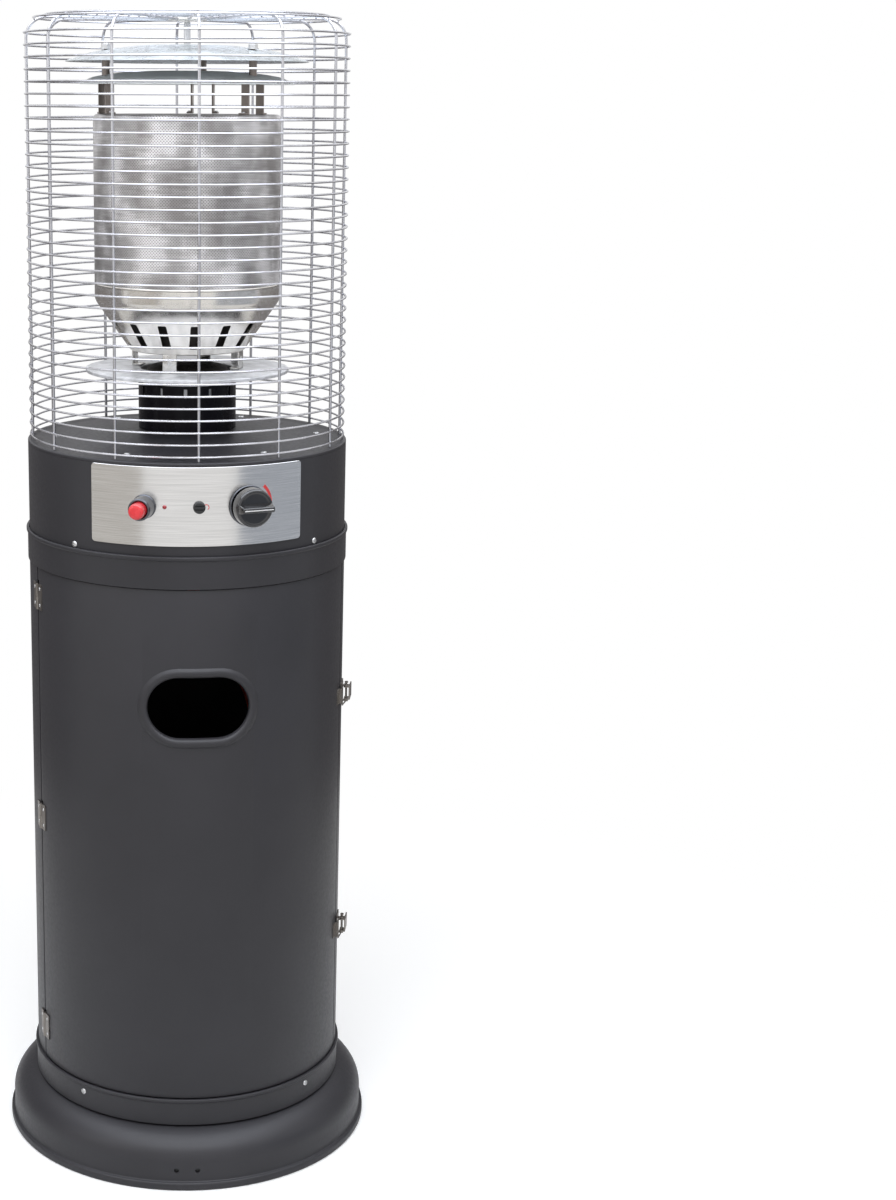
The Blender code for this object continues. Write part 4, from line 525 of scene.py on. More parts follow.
def housing_sheet(name, bottom, top, first, last, steps):
    """A piece of the housing between two azimuths, with slightly rounded edges."""
    edge, inner = 0.0004, BODY_RADIUS - SHEET
    section = rounded([
        (BODY_RADIUS, top, edge), (BODY_RADIUS, bottom, edge), (inner, bottom), (inner, top)], 2)
    azimuths = [first + (last - first) * step / steps for step in range(steps + 1)]
    return solid(name, [[around(azimuth, *point) for point in section] for azimuth in azimuths], 30)


def seam_azimuth(y):
    return degrees(acos(-y / BODY_RADIUS))


def hand_hole(offset):
    """The hand hole's outline, offset outwards: points of (x, z) round its middle."""
    round_steps, straight_steps = 20, 6
    radius = HOLE_HEIGHT / 2 + offset
    reach = (HOLE_WIDTH - HOLE_HEIGHT) / 2
    points = []
    for side in (1, -1):
        for step in range(round_steps + 1):
            angle = radians(180 * step / round_steps - 90 * side)
            points.append((side * reach + radius * cos(angle), radius * sin(angle)))
        for step in range(1, straight_steps):
            points.append((side * reach * (1 - 2 * step / straight_steps), side * radius))
    return points


def on_door(x, z, rise):
    """The point in front of the hand hole's own place on the round door, raised above it."""
    return (x, -sqrt((BODY_RADIUS + rise) ** 2 - x ** 2), z + HOLE_LEVEL)


def hinge_gaps():
    """Cutters that clear each hinge's barrel out of the sheets beside it."""
    width, height, drop = 0.0084, 0.0334, 0.0128
    return [block("gap", (width, width, height),
                  at(HINGE_X, HINGE_Y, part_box(f"hinge_fixed_{number}")[1].z - drop)) for number in (1, 2, 3)]


def make_door():
    """The door with its hand hole, whose rim is embossed outwards and then turns in."""
    edge = seam_azimuth(HINGE_Y - SEAM_FRONT_GAP)
    door = housing_sheet("door", DOOR_BOTTOM, DOOR_TOP, -edge, edge, 96)
    hole_offset, depth = 0.0055, BODY_RADIUS * 0.2
    hole = solid("hole", [[(x, level, z + HOLE_LEVEL) for x, z in hand_hole(hole_offset)]
                          for level in (-BODY_RADIUS + depth, -BODY_RADIUS - depth)])
    cut(door, [hole, *hinge_gaps()])
    section = [(0.0121, -0.0004), (0.0115, 0.0001), (0.0102, 0.001), (0.009, 0.0021),
               (0.0074, 0.0028), (hole_offset, 0.003), (0.0036, 0.0027), (0.0019, 0.0017),
               (0.0007, 0.0002), (0, -0.0018), (0, -0.0042), (0.001, -0.0044), (0.0012, -0.002),
               (0.002, 0.0002), (0.004, 0.0014), (0.007, 0.0014), (0.0085, -0.0004)]
    rim = bmesh.new()
    grid(rim, [[on_door(x, z, rise) for x, z in hand_hole(offset)] for offset, rise in section],
         wrap_rows=True, wrap_columns=True)
    whole = joined("door_with_hand_hole", [door, from_shape("rim", rim, 60)])
    dress(whole, COAT, "door_panel", body="door")


def make_rear():
    edge = seam_azimuth(HINGE_Y + SEAM_REAR_GAP)
    bottom, top = levels("rear_shell")
    rear = housing_sheet("rear_wall", bottom, top, edge, 360 - edge, 144)
    dress(cut(rear, hinge_gaps()), COAT, "rear_shell")


make_base()
make_hoop("hoop_low", "lower_hoop")
make_hoop("hoop_high", "upper_hoop")
make_door()
make_rear()
screws("hoop_screws", [facing(azimuth, BODY_RADIUS + 0.0018, 0.0905) for azimuth in (-45, 45, -135, 135)])


# Head, control panel and controls

def make_head():
    """The head's wall, and its top plate, which rises from a flat edge to the burner's collar."""
    inside = HEAD_RADIUS - SHEET
    bottom, top = levels("head_shell")
    wall = lathe("head_wall", [
        (HEAD_RADIUS, top), (HEAD_RADIUS, bottom, 0.0005), (inside, bottom), (inside, top)])
    dress(wall, COAT, "head_shell")
    foot, centre = levels("head_top_plate")
    bore, crease, seat, level = 0.0146, 0.062, 0.172, centre - 0.012
    plate = lathe("head_top", [
        (bore, centre), (crease, centre, 0.006), (seat, level, 0.004), (HEAD_RADIUS, level, 0.0046),
        (HEAD_RADIUS, foot), (inside, foot), (inside, level - SHEET, 0.0036), (seat, level - SHEET, 0.004),
        (crease, centre - SHEET, 0.006), (bore, centre - SHEET)], round_steps=8)
    dress(plate, COAT, "head_top_plate")
    screws("head_screws", [facing(azimuth, HEAD_RADIUS, 0.779) for azimuth in (-46.6, 46.4, -135, 135)])
    screws("lid_screws", [standing(azimuth, 0.157, level + 0.0017) @ turned(-6.2, "X")
                          for azimuth in range(-150, 180, 60)])


def make_panel():
    """The round panel, with rounded corners and a slightly softened front edge."""
    corner, edge, inside = 0.004, 0.0003, HEAD_RADIUS + 0.0003
    reach = radians(PANEL_HALF_AZIMUTH) * PANEL_RADIUS
    near = [corner * (1 - cos(radians(90 * k / 6))) for k in range(7)]
    middle = [corner + 2 * (reach - corner) * k / 60 for k in range(1, 60)]
    rows = []
    for station in [-reach + s for s in near + middle] + [reach - s for s in near[::-1]]:
        left = max(corner - (reach - abs(station)), 0.0)
        trim = corner - sqrt(max(corner ** 2 - left ** 2, 0.0))
        top, bottom = PANEL_TOP - trim, PANEL_BOTTOM + trim
        section = [(PANEL_RADIUS - edge, top), (PANEL_RADIUS, top - edge), (PANEL_RADIUS, bottom + edge),
                   (PANEL_RADIUS - edge, bottom), (inside, bottom), (inside, top)]
        rows.append([around(degrees(station / PANEL_RADIUS), *point) for point in section])
    dress(solid("panel", rows, 30), PANEL_STEEL, "control_panel")


def arc_mark(name, azimuth, radius, first, last, thin, thick):
    """A red mark on the panel that widens as it goes round a control."""
    steps, sunk, proud = 24, PANEL_RADIUS + 0.00002, PANEL_RADIUS + 0.00012
    rows = []
    for step in range(steps + 1):
        t = step / steps
        angle = radians(first + (last - first) * t)
        half = (thin + (thick - thin) * t) / 2
        near, far = (
            (azimuth + degrees(distance * cos(angle) / PANEL_RADIUS), CONTROL_LEVEL + distance * sin(angle))
            for distance in (radius - half, radius + half))
        rows.append([around(turn, out, level) for (turn, level), out in
                     ((near, sunk), (near, proud), (far, proud), (far, sunk))])
    dress(solid(name, rows), MARK_RED)


def make_knob():
    """The knob: a bezel, a skirt, a tapered grip across it and a white line on the grip, partly a pointer and
    partly a painted highlight, with its red mark.
    """
    place = facing(KNOB_AZIMUTH, PANEL_RADIUS, CONTROL_LEVEL)
    bore, radius, foot = 0.0047, 0.0235, 0.0003
    bezel = lathe("knob_ring", [
        (bore, 0.0026), (0.0195, 0.0026, 0.0004), (0.0205, 0.0033, 0.0006), (radius, 0.0033, 0.0012),
        (radius, foot), (bore, foot)], MIDDLE, place)
    dress(bezel, DARK_CHROME, "knob_bezel")
    skirt = spindle("skirt", [
        (0, 0.0204), (0.017, 0.0204, 0.001), (0.0186, 0.0209, 0.0006), (0.0205, 0.0206, 0.001),
        (0.0222, 0.0186, 0.0016), (0.0225, 0.0082, 0.0006), (0.0215, 0.0076), (0, 0.0076)], MIDDLE)
    length, width, depth, middle = 0.041, 0.0116, 0.013, 0.026
    front_share = Vector((0.93, 0.5, 1))
    grip = bmesh.new()
    bmesh.ops.create_cube(grip, size=1, matrix=Matrix.Diagonal((length, width, depth, 1)))
    for vert in grip.verts:
        if vert.co.z > 0:
            vert.co *= front_share
    bmesh.ops.bevel(grip, geom=list(grip.edges), offset=0.0013, segments=4, profile=0.5, affect="EDGES")
    knob = joined("knob", [skirt, from_shape("ridge", grip, place=at(0, 0, middle))])
    knob.data.transform(place)
    dress(knob, KNOB_BLACK, "control_knob", body="gas_knob")
    front = middle + depth / 2 + 0.0001
    # The white line along the grip is partly a pointer and partly a painted highlight on the grip's edge.
    pointer_and_highlight = block("knob_pointer_and_highlight", (0.035, 0.0012, 0.0004), place @ at(0, 0, front), 0.0001)
    dress(pointer_and_highlight, POINTER_AND_HIGHLIGHT_WHITE, body="gas_knob")
    arc_mark("heat_arc", KNOB_AZIMUTH, 0.0287, -60, 48, 0.0016, 0.0038)


def make_igniter():
    place = facing(IGNITER_AZIMUTH, PANEL_RADIUS, CONTROL_LEVEL)
    bore, radius, front, floor, flange, foot = 0.0097, 0.013, 0.023, 0.0033, 0.014, 0.0003
    barrel = spindle("igniter_barrel", [
        (0, floor), (bore, floor), (bore, front - 0.001), (0.0104, front, 0.0005), (0.0122, front, 0.0012),
        (radius, 0.0205, 0.0012), (radius, 0.0022, 0.0004), (flange, 0.0018, 0.0006), (flange, foot),
        (0, foot)], MIDDLE, place)
    dress(barrel, DARK_CHROME, "igniter_bezel")
    radius, back = 0.0092, 0.009
    button = spindle("red_button", [
        (0, 0.0365), (0.0055, 0.0363, 0.002), (0.0088, 0.0349, 0.0026), (radius, 0.0315, 0.001),
        (radius, back), (0, back)], MIDDLE, place)
    dress(button, RED, "igniter_button", body="igniter")


def make_lamp_and_cap():
    """The red lamp, and the small cap with two slots and a red mark beside it."""
    radius, back = 0.0025, -0.0085
    lamp = spindle("lamp", [
        (0, 0.0018), (0.0017, 0.0014, 0.0008), (radius, 0.0004, 0.0004), (radius, back), (0, back)],
        place=facing(LAMP_AZIMUTH, PANEL_RADIUS, CONTROL_LEVEL))
    dress(lamp, LAMP_RED, "indicator_lamp")
    front, radius, neck, foot, back = 0.0045, 0.007, 0.0045, 0.0003, -0.0117
    cap = spindle("cap", [
        (0, front), (0.0058, front, 0.0008), (radius, 0.0034, 0.001), (radius, foot), (neck, foot),
        (neck, back), (0, back)], MIDDLE)
    cut(cap, [block("slot", (0.01, 0.0014, 0.003), at(0, level, front)) for level in (-0.0021, 0.0021)])
    cap.data.transform(facing(CAP_AZIMUTH, PANEL_RADIUS, CONTROL_LEVEL))
    dress(cap, MATT_BLACK, "slotted_cap", body="slotted_cap")
    arc_mark("cap_arc", CAP_AZIMUTH + 2.4, 0.003, -60, 220, 0.0009, 0.0009)


make_head()
make_panel()
make_knob()
make_igniter()
make_lamp_and_cap()


# Burner, flame cone and screen

def make_burner():
    """The slotted collar, the flange on its neck, and the burner's head with rings of ports."""
    low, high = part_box("burner_collar")
    inside = high.x - 0.002
    collar = lathe("collar", [
        (high.x, high.z, 0.0006), (high.x, low.z), (inside, low.z), (inside, high.z, 0.0004)])
    places = [standing(azimuth, high.x - 0.001, high.z - 0.0085) for azimuth in range(-6, 354, 30)]
    slots = [block("slot", (0.0042, 0.01, 0.011), place, 0.0006, 1) for place in places]
    dress(cut(collar, slots), GLOSS_BLACK, "burner_collar")
    foot = low.z + 0.0002
    low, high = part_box("burner_flange")
    rim, top, under, neck_out, neck_in = high.x, high.z, high.z - 0.002, 0.0562, 0.0552
    flange = lathe("flange", [
        (0.0556, top - 0.001, 0.0008), (0.059, top, 0.001), (0.118, top, 0.0008),
        (0.119, top - 0.0006, 0.0004), (rim, top - 0.0008, 0.001), (rim, top - 0.0046, 0.0008),
        (rim - 0.001, top - 0.0046, 0.0004), (rim - 0.0012, under, 0.0004), (0.06, under, 0.0016),
        (0.0575, top - 0.0045, 0.0012), (0.0575, low.z), (neck_out, low.z), (neck_out, low.z - 0.024),
        (neck_in, low.z - 0.024)], round_steps=5)
    dress(flange, FLANGE_STEEL, "burner_flange")
    low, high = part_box("burner_head")
    pipe_radius, plate_radius, plate_top, top = 0.014, 0.028, foot + 0.0028, high.z
    head = spindle("burner", [
        (0, top), (0.029, top - 0.001, 0.003), (0.046, top - 0.0048, 0.004), (high.x, top - 0.011, 0.003),
        (high.x, top - 0.038, 0.004), (pipe_radius, top - 0.048, 0.006), (pipe_radius, plate_top, 0.001),
        (plate_radius, plate_top, 0.0008), (plate_radius, foot), (pipe_radius, foot),
        (pipe_radius, low.z + 0.0003, 0.0006), (0, low.z + 0.0003)], MIDDLE, round_steps=5)
    ports = [block("port", (0.0022, 0.0038, 0.006), standing(360 * number / count, ring, top - 0.0035))
             for ring, count in ((0.018, 16), (0.028, 24), (0.0385, 32)) for number in range(count)]
    dress(cut(head, [joined("ports", ports)]), IRON, "burner_head")


def make_cone():
    """The slotted cone with its dark liner, on four riveted legs."""
    base, top = levels("flame_cone")
    bottom, edge = base + 0.0215, top - 0.0175
    foot, radius = 0.0686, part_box("flame_cone")[1].x
    cone = lathe("cone", [
        (radius, top), (radius, edge, 0.005), (foot, bottom, 0.001),
        (foot - 0.0016, bottom - 0.0008, 0.0006), (foot - SHEET, bottom), (radius - SHEET, edge, 0.005),
        (radius - SHEET, top)], round_steps=8)
    rise, out, slot_rise = edge - bottom, radius - foot, 0.0215
    lean = turned(degrees(atan2(out, rise)), "X")
    middle = foot + out * slot_rise / rise
    places = [standing(1.6 + 24 * number, middle, bottom + slot_rise) @ lean for number in range(15)]
    cut(cone, [block("slot", (0.0105, 0.02, 0.035), place, 0.002, 3) for place in places])
    dress(cone, CONE_STEEL, "flame_cone")
    liner = lathe("cone_liner", [
        (0.065, bottom + 0.003, 0.0006), (0.078, edge - 0.006, 0.004), (0.1, edge - 0.002, 0.0006),
        (0.0998, edge - 0.001, 0.0004), (0.0772, edge - 0.005, 0.004), (0.0642, bottom + 0.0034, 0.0004)])
    dress(liner, IRON)
    legs, rivets = [], []
    reach, width, tall = foot - 0.0022, 0.017, bottom + 0.006 - base
    for azimuth in range(-22, 338, 90):
        middle = standing(azimuth, reach, base + tall / 2)
        under = standing(azimuth, reach - 0.005, base + 0.0008)
        legs.append(block("leg", (width, 0.002, tall), middle, 0.0004))
        legs.append(block("foot", (width, 0.012, 0.0016), under, 0.0003))
        rivets.append(facing(azimuth, reach + 0.001, base + 0.012))
    dress(joined("cone_legs", legs), SHEET_STEEL)
    screws("leg_rivets", rivets, radius=0.003, height=0.0012)


def make_screen():
    """The screen, a cup upside down, and the band round its foot."""
    low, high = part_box("emitter_screen")
    radius, inside, top, under = high.x, high.x - 0.001, high.z, high.z - 0.001
    screen = spindle("screen", [
        (0, top), (radius - 0.0032, top, 0.003), (radius, top - 0.0032, 0.003), (radius, low.z),
        (inside, low.z), (inside, top - 0.0036, 0.0024), (radius - 0.0036, under, 0.0024), (0, under)],
        FINE, round_steps=6)
    dress(screen, EMITTER, "emitter_screen")
    out, band_top = radius + 0.0002, low.z + 0.0022
    band = lathe("screen_band", [(out, band_top, 0.0004), (radius + 0.0007, low.z + 0.0011, 0.0004),
                                 (out, low.z, 0.0004), (inside, low.z), (inside, band_top)])
    dress(band, CONE_STEEL)


make_burner()
make_cone()
make_screen()


# Posts, reflectors and the guard

def dome(name, radius, rim, crown, flare=0.0, lip=0.0):
    """A domed plate, its top surface listed from the middle out, with a sloping edge if it has one."""
    sheet, crease, softness = 0.001, radius - flare, 0.0003
    over = [(0, rim + crown), (crease * 0.4, rim + crown * 0.93, 0.012),
            (crease * 0.78, rim + crown * 0.55, 0.012)]
    if flare:
        over.append((crease, rim, 0.005))
    over.append((radius, rim - lip, softness))
    under = [(r, z - sheet, *rounding) for r, z, *rounding in over[::-1]]
    return spindle(name, over + under, FINE, round_steps=8)


def make_reflectors():
    low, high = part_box("lower_reflector")
    crown, flare, sheet = 0.0075, 0.015, 0.001
    rim = high.z - crown
    lower = dome("lower_dome", high.x, rim, crown, flare, rim - low.z - sheet)
    # The lower reflector takes the paler steel: painted light against the upper reflector's shade.
    dress(lower, PAINTED_LIGHT_REFLECTOR, "lower_reflector")
    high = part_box("upper_reflector")[1]
    crown = 0.019
    dress(dome("upper_dome", high.x, high.z - crown, crown), REFLECTOR, "upper_reflector")


def make_post(number, azimuth):
    """A bent strap on two bolts, the spacer that stands on it, and the cap nut on top."""
    bottom, end = levels(f"reflector_post_{number}")
    top, half, sheet, foot, depth = 0.0409, 0.014, 0.002, 0.005, 0.011
    outline = [(half + foot, 0), (half + foot, sheet), (half, sheet), (half, top)]
    inner = [(half - sheet, top - sheet), (half - sheet, 0)]
    section = outline + [(-x, z) for x, z in outline[::-1] + inner[::-1]] + inner
    strap = solid("strap", [[(x, y, z) for x, z in section] for y in (-depth / 2, depth / 2)], 30)
    soften = strap.modifiers.new("Soft edges", "BEVEL")
    soften.width = 0.0005
    soften.segments = 2
    base = standing(azimuth, POST_RADIUS, bottom)
    strap.data.transform(base)
    dress(strap, BRACKET, f"reflector_post_{number}")
    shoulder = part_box("upper_reflector")[1].z - 0.0086
    stud, spacer, seat = 0.0025, 0.0045, bottom + top - 0.001
    axis = standing(azimuth, POST_RADIUS)
    dress(spindle("spacer", [
        (0, end), (0.0022, end, 0.0004), (stud, shoulder), (spacer, shoulder - 0.002), (spacer, seat),
        (0, seat)], place=axis), BRACKET)
    screws("post_bolts", [base @ at(side * (half + 0.0028), 0, sheet) for side in (-1, 1)],
           radius=0.0022, height=0.0014)
    low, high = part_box(f"cap_nut_{number}")
    nut = hexagon("nut_flats", 0.0054, low.z + 0.0003, low.z + 0.0052, axis)
    cap = spindle("nut_dome", [
        (0, high.z), (0.0026, high.z - 0.0006, 0.0015), (0.0042, low.z + 0.006, 0.002),
        (0.0042, low.z + 0.004), (0, low.z + 0.004)], place=axis, round_steps=5)
    washer_top, washer_foot = low.z + 0.0007, low.z - 0.0001
    washer = lathe("washer", [(0.0068, washer_top, 0.0002), (0.0068, washer_foot, 0.0002),
                              (0.003, washer_foot), (0.003, washer_top)], SMALL, axis)
    dress(joined(f"cap_nut_{number}_visual", [nut, cap, washer]), BRIGHT, f"cap_nut_{number}")


def make_guard():
    """Twelve bent uprights with the rings of the wall round them, and the rings of the top."""
    wire, thick, corner, top = 0.0012, 0.0017, 0.024, GUARD_TOP
    ring_radius = 0.1896 - wire
    upright_radius = ring_radius - wire - thick + 0.0004
    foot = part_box("guard_front")[0].z + 0.0002
    straight = top - corner - foot

    def lid_level(radius):
        return top - 0.0016 * (1 - radius / 0.16)

    paths = []
    for azimuth in range(0, 360, 30):
        path = [around(azimuth, upright_radius, foot + straight * k / 6) for k in range(6)]
        for step in range(13):
            angle = radians(90 * step / 12)
            path.append(around(azimuth, upright_radius - corner * (1 - cos(angle)),
                               top - corner * (1 - sin(angle))))
        path += [around(azimuth, radius, lid_level(radius)) for radius in (0.12, 0.08, 0.05, 0.0265)]
        paths.append(path)
    uprights = wires("uprights", paths, thick, 10)
    dress(uprights, WIRE, "guard_front", "guard_right", "guard_rear", "guard_left")
    wall_top, pitch = top - corner + 0.0065, 0.01365
    count = int((wall_top - foot - 0.004) / pitch) + 1
    wall = [(ring_radius, wall_top - pitch * number) for number in range(count)]
    dress(ring_wires("wall_rings", wall, wire), WIRE)
    rise = thick + wire - 0.0006
    lid = [(0.1775, top + rise - 0.003)]
    lid += [(0.164 - 0.014 * number, lid_level(0.164 - 0.014 * number) + rise) for number in range(10)]
    dress(ring_wires("top_rings", lid, wire), WIRE)


def make_guard_fixing():
    """The plate under the guard's middle, the rod through it and the nut."""
    low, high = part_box("guard_plate")
    rim, bore, offset = high.x, 0.0033, 0.0012
    plate = lathe("centre_plate", [
        (bore, high.z), (0.018, high.z, 0.003), (0.02, high.z + offset, 0.002),
        (rim, high.z + offset, 0.0004), (rim, low.z + offset, 0.0004), (0.0205, low.z + offset, 0.002),
        (0.0185, low.z, 0.003), (bore, low.z)], MIDDLE)
    dress(plate, CONE_STEEL, "guard_plate")
    bottom, top = levels("guard_nut")
    nut = cut(hexagon("nut", 0.0064, bottom, top), [disc("bore", bore, 2 * bottom - top, 2 * top - bottom)])
    dress(nut, BRIGHT, "guard_nut")
    low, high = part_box("guard_rod")
    thread, head = 0.003, high.x
    rod = spindle("rod", [
        (0, high.z), (0.0026, high.z, 0.0006), (thread, high.z - 0.0008, 0.0002),
        (thread, GUARD_TOP - 0.005), (head, GUARD_TOP - 0.0055, 0.0003), (head, low.z), (0, low.z)])
    dress(rod, BRIGHT, "guard_rod")


make_reflectors()
for number, azimuth in enumerate(POST_AZIMUTHS, start=1):
    make_post(number, azimuth)
make_guard()
make_guard_fixing()


# Hinges and latches keep their frame solids, with small rivets added

def middle_level(name):
    low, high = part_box(name)
    return (low.z + high.z) / 2


def make_rivets():
    for number in (1, 2, 3):
        level, rise = middle_level(f"hinge_fixed_{number}"), 0.01
        for azimuth, body in ((-74.6, "heater"), (-69.4, "door")):
            places = [facing(azimuth, LEAF_RADIUS, level + side * rise) for side in (-1, 1)]
            screws(f"hinge_rivets_{body}_{number}", places, body, radius=0.0019, height=0.0008)
    for name in ("upper", "lower"):
        level, rise = middle_level(f"latch_base_{name}"), 0.0075
        places = [facing(81, LEAF_RADIUS, level + side * rise) for side in (-1, 1)]
        screws(f"latch_rivets_{name}", places, radius=0.0017, height=0.0007)


make_rivets()


# Gas parts inside

HOSE_ROUTE = [
    (0.0, 0.164, 0.7379), (0.0, 0.164, 0.723), (0.004, 0.165, 0.6851), (0.036, 0.1665, 0.6201),
    (0.081, 0.157, 0.5399), (0.101, 0.146, 0.4799), (0.1041, 0.144, 0.4199), (0.096, 0.149, 0.3448),
    (0.0729, 0.159, 0.2602), (0.0331, 0.169, 0.18), (-0.0181, 0.168, 0.1219),
    (-0.062, 0.156, 0.0973), (-0.1, 0.134, 0.0916), (-0.1289, 0.109, 0.0916),
    (-0.142, 0.084, 0.0916), (-0.142, 0.0693, 0.0916)]
REGULATOR = (-0.142, 0.002, 0.0916)


def ferrule(name, foot, top, first, second, place):
    """A crimped sleeve on the hose's end, from foot to top, with a groove between two heights."""
    radius, bore, waist, edge = 0.0084, 0.006, 0.0078, 0.0006
    return lathe(name, [
        (radius, foot), (radius, first, edge), (waist, (first + second) / 2, edge), (radius, second, edge),
        (radius, top, edge), (bore, top), (bore, foot)], SMALL, place)


def make_inlet_nut():
    low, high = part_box("hose_nut")
    place = at(0, HOSE_ROUTE[0][1], 0)
    flats = hexagon("flats", 0.012, high.z - 0.018, high.z, place)
    sleeve = ferrule("ferrule", high.z - 0.0175, low.z, low.z + 0.01, low.z + 0.0084, place)
    return dress(joined("hose_coupling", [flats, sleeve]), BRASS, "hose_nut")


def make_regulator(place, along):
    """The regulator's ribbed body with bolts round its rim, its hexagon port and its inlet."""
    rim, base = 0.035, -0.0158
    body = spindle("body", [
        (0, 0.019), (0.0132, 0.019, 0.0014), (0.015, 0.0172, 0.0012), (0.015, 0.0118, 0.0014),
        (0.031, 0.005, 0.003), (rim, 0.0034, 0.001), (rim, -0.0034, 0.001), (0.03, -0.0058, 0.002),
        (0.022, base, 0.0026), (0, base)], MIDDLE, place, 6)
    ribs = [block("rib", (0.001, 0.014, 0.0046), place @ turned(30 * k) @ at(0, 0.023, 0.0076), 0.0004)
            for k in range(12)]
    bolts = [hexagon("bolt", 0.003, 0.003, 0.0056, place @ turned(60 * (k + 0.5)) @ at(0, 0.0318, 0))
             for k in range(6)]
    dress(joined("regulator_body", [body, *ribs]), ALUMINIUM, "regulator")
    dress(joined("regulator_bolts", bolts), BRIGHT)
    port = hexagon("port", 0.011, 0.026, 0.053, along)
    barb = ferrule("barb", 0.0525, 0.067, 0.058, 0.0596, along)
    inlet, near, far = 0.0084, -0.02, -0.0353
    stub = spindle("stub", [(0, near), (inlet, near), (inlet, far, 0.0004), (0, far)], place=along)
    dress(joined("regulator_ports", [port, barb, stub]), BRASS)


def make_bottle_nut(along):
    """The knurled hand wheel and the nipple that goes into the bottle's valve."""
    radius, groove, facets, chamfer = 0.0158, 0.0008, 48, 0.0012
    rows = []
    for out, shrink in ((-0.0356, chamfer), (-0.0364, 0), (-0.0608, 0), (-0.0616, chamfer)):
        reaches = [radius - shrink - groove * (k % 2) for k in range(facets)]
        rows.append([(reach * cos(tau * k / facets), reach * sin(tau * k / facets), out)
                     for k, reach in enumerate(reaches)])
    wheel = solid("wheel", rows, 20, along)
    nipple, root, end = 0.008, -0.06, -0.0725
    nose = spindle("nipple", [
        (0, root), (nipple, root), (nipple, -0.068, 0.001), (0.0056, end, 0.001), (0, end)], place=along)
    return dress(joined("bottle_coupling", [wheel, nose]), BRASS, "bottle_nut")


def make_hose():
    """The hose from the fitting behind the head's floor down to the regulator on the pan."""
    path, radius = smooth_path(HOSE_ROUTE, 8), 0.0074
    hose = dress(wires("hose", [path], radius, 20), HOSE_RED, "gas_hose")
    nut = make_inlet_nut()
    place = at(*REGULATOR)
    along = place @ turned(-90, "X")
    make_regulator(place, along)
    bottle = make_bottle_nut(along)


make_hose()


# The frame's own solids that stay

def paint(material, *names):
    for name in names:
        for slot in nodes[name].material_slots:
            slot.material = material


paint(COAT, "base_pan", "head_floor")
paint(HARDWARE, *[f"hinge_{half}_{number}" for half in ("fixed", "door") for number in (1, 2, 3)])
paint(HARDWARE, *[f"latch_{piece}_{name}" for piece in ("base", "lever", "bail", "keeper")
                  for name in ("upper", "lower")])
paint(BRIGHT, "valve_stem", "pilot_assembly")
paint(BRASS, "gas_valve", "gas_inlet", "supply_pipe")
paint(KNOB_BLACK, "igniter_module")


# Camera, lights and floor

# The photograph's view, fitted to its ellipses; the second line of values is in pixels
EYE, PITCH = Vector((-0.172, -2.4591, 1.2823)), 13.776
PHOTO_HEIGHT, FOCAL, TURNED_RIGHT, SHIFTED_RIGHT = 1200, 2055.0, 40.0, 220.75
SENSOR = 36.0                # millimetres


def make_camera():
    """A view from a little to the left, pitched down, with the heater left of centre."""
    level = Vector((-EYE.x, -EYE.y, 0)).normalized()
    right = level.cross(Vector((0, 0, 1)))
    pitch = radians(PITCH)
    ahead = level * cos(pitch) - Vector((0, 0, sin(pitch)))
    over = right.cross(ahead)
    ahead = (ahead * FOCAL + right * TURNED_RIGHT).normalized()
    side = ahead.cross(over).normalized()
    over = side.cross(ahead).normalized()
    lens = bpy.data.cameras.new("camera")
    lens.sensor_width = SENSOR
    lens.lens = FOCAL / PHOTO_HEIGHT * SENSOR
    lens.shift_x = SHIFTED_RIGHT / PHOTO_HEIGHT
    lens.clip_start, lens.clip_end = 0.05, 60.0
    camera = bpy.data.objects.new("camera", lens)
    camera.matrix_world = at(*EYE) @ Matrix((side, over, -ahead)).transposed().to_4x4()
    bpy.context.scene.collection.objects.link(camera)
    bpy.context.scene.camera = camera


def make_world():
    """White to the camera and in reflections, and softer as light on the surfaces."""
    softer = -0.62
    world = bpy.data.worlds.new("studio")
    bpy.context.scene.world = world
    world.use_nodes = True
    tree = world.node_tree
    tree.nodes.clear()
    sky = node(tree, "Background")
    sky.inputs["Color"].default_value = (1, 1, 1, 1)
    diffuse = node(tree, "LightPath").outputs["Is Diffuse Ray"]
    tree.links.new(math_node(tree, "MULTIPLY_ADD", diffuse, softer, 1.0), sky.inputs["Strength"])
    tree.links.new(sky.outputs[0], node(tree, "OutputWorld").inputs["Surface"])


def area_light(name, place, target, size, power, colour=(1, 1, 1)):
    light = bpy.data.lights.new(name, "AREA")
    light.shape = "RECTANGLE"
    light.size, light.size_y = size
    light.energy = power
    light.color = colour
    lamp = bpy.data.objects.new(name, light)
    lamp.location = place
    lamp.rotation_euler = (Vector(target) - lamp.location).to_track_quat("-Z", "Y").to_euler()
    bpy.context.scene.collection.objects.link(lamp)
    return lamp


def reflection_card(name, place, width, height, colour):
    """A card that only reflections see."""
    material = new_material(name, colour, 0, 1)
    tree = material.node_tree
    tree.nodes.clear()
    glow = node(tree, "Emission")
    glow.inputs["Color"].default_value = (*colour, 1)
    tree.links.new(glow.outputs[0], node(tree, "OutputMaterial").inputs["Surface"])
    card = block(name, (width, 0.004, height), place)
    card.data.materials.append(material)
    for ray in ("camera", "diffuse", "shadow", "transmission"):
        setattr(card, f"visible_{ray}", False)


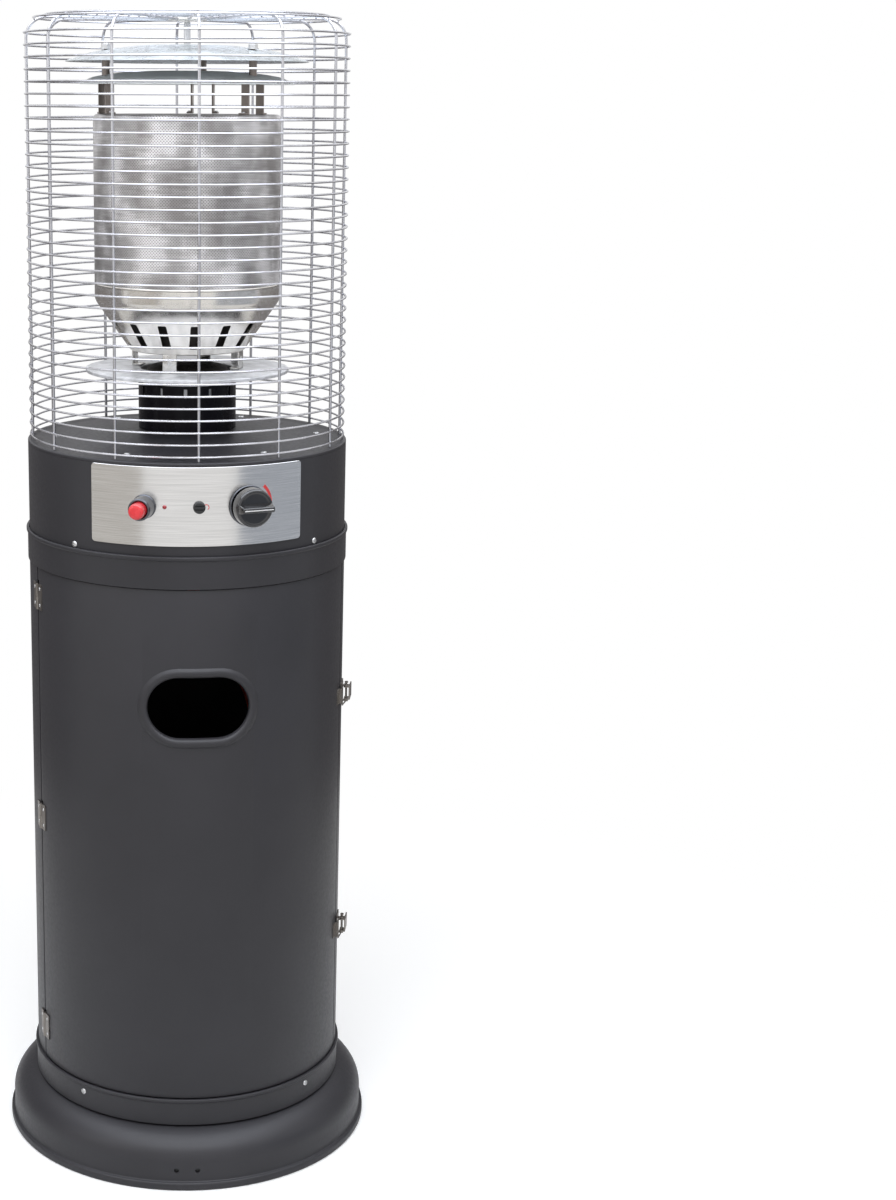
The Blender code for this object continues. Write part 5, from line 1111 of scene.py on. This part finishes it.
def floor_material():
    """A pale floor that takes the heater's shadow and fades into the white background."""
    pale, own_light, fade_from, fade_to = (0.86, 0.86, 0.86), 0.28, 0.35, 1.3
    made = new_material("floor", pale, 0, 0.9, Emission_Color=(1, 1, 1, 1), Emission_Strength=own_light)
    tree = made.node_tree
    shader = tree.nodes["Principled BSDF"]
    where = node(tree, "TexCoord")
    reach = node(tree, "VectorMath", operation="LENGTH")
    tree.links.new(where.outputs["Object"], reach.inputs[0])
    far = node(tree, "MapRange", interpolation_type="SMOOTHSTEP")
    far.inputs["From Min"].default_value = fade_from
    far.inputs["From Max"].default_value = fade_to
    tree.links.new(reach.outputs["Value"], far.inputs["Value"])
    path = node(tree, "LightPath")
    diffuse, glossy = path.outputs["Is Diffuse Ray"], path.outputs["Is Glossy Ray"]
    glow = node(tree, "Emission")
    held = math_node(tree, "MULTIPLY_ADD", diffuse, -0.6, 1.0)
    tree.links.new(math_node(tree, "MULTIPLY_ADD", glossy, -0.15, held), glow.inputs["Strength"])
    near = math_node(tree, "MULTIPLY_ADD", glossy, -own_light, own_light)
    tree.links.new(near, shader.inputs["Emission Strength"])
    mixed = node(tree, "MixShader")
    for socket, value in zip(mixed.inputs, (far.outputs["Result"], shader.outputs[0], glow.outputs[0])):
        tree.links.new(value, socket)
    tree.links.new(mixed.outputs[0], tree.nodes["Material Output"].inputs["Surface"])
    return made


def make_stage():
    shape = bmesh.new()
    bmesh.ops.create_grid(shape, x_segments=1, y_segments=1, size=14.0)
    floor = from_shape("floor", shape)
    floor.data.materials.append(floor_material())
    area_light("overhead", (-0.2, -1.6, 3.3), (0, 0, 0.6), (2.6, 2.0), 95, (0.92, 0.95, 1.0))
    area_light("fill", (-2.6, -1.6, 1.4), (0, 0, 0.7), (1.2, 2.0), 8)
    back = area_light("back", (0.5, 2.8, 2.6), (0, 0, 0.9), (2.0, 1.2), 26)
    back.visible_glossy = False
    reflection_card("card_left", standing(-57, 2.4, 0.57), 2.0, 1.1, (0.5, 0.48, 0.45))
    reflection_card("card_right", standing(61, 2.4, 0.57), 2.75, 1.1, (0.37, 0.4, 0.45))
    for azimuth in (115, 160, 205, 250):
        place = standing(azimuth, 1.3, 0.58)
        reflection_card(f"card_rear_{azimuth}", place, 1.1, 1.14, (0.2, 0.19, 0.19))
    reflection_card("card_above", at(0, -0.5, 2.5) @ turned(90, "X"), 3.4, 3.0, (3.4, 3.55, 3.85))


make_camera()
make_world()
make_stage()
bpy.context.scene.view_settings.view_transform = "Standard"
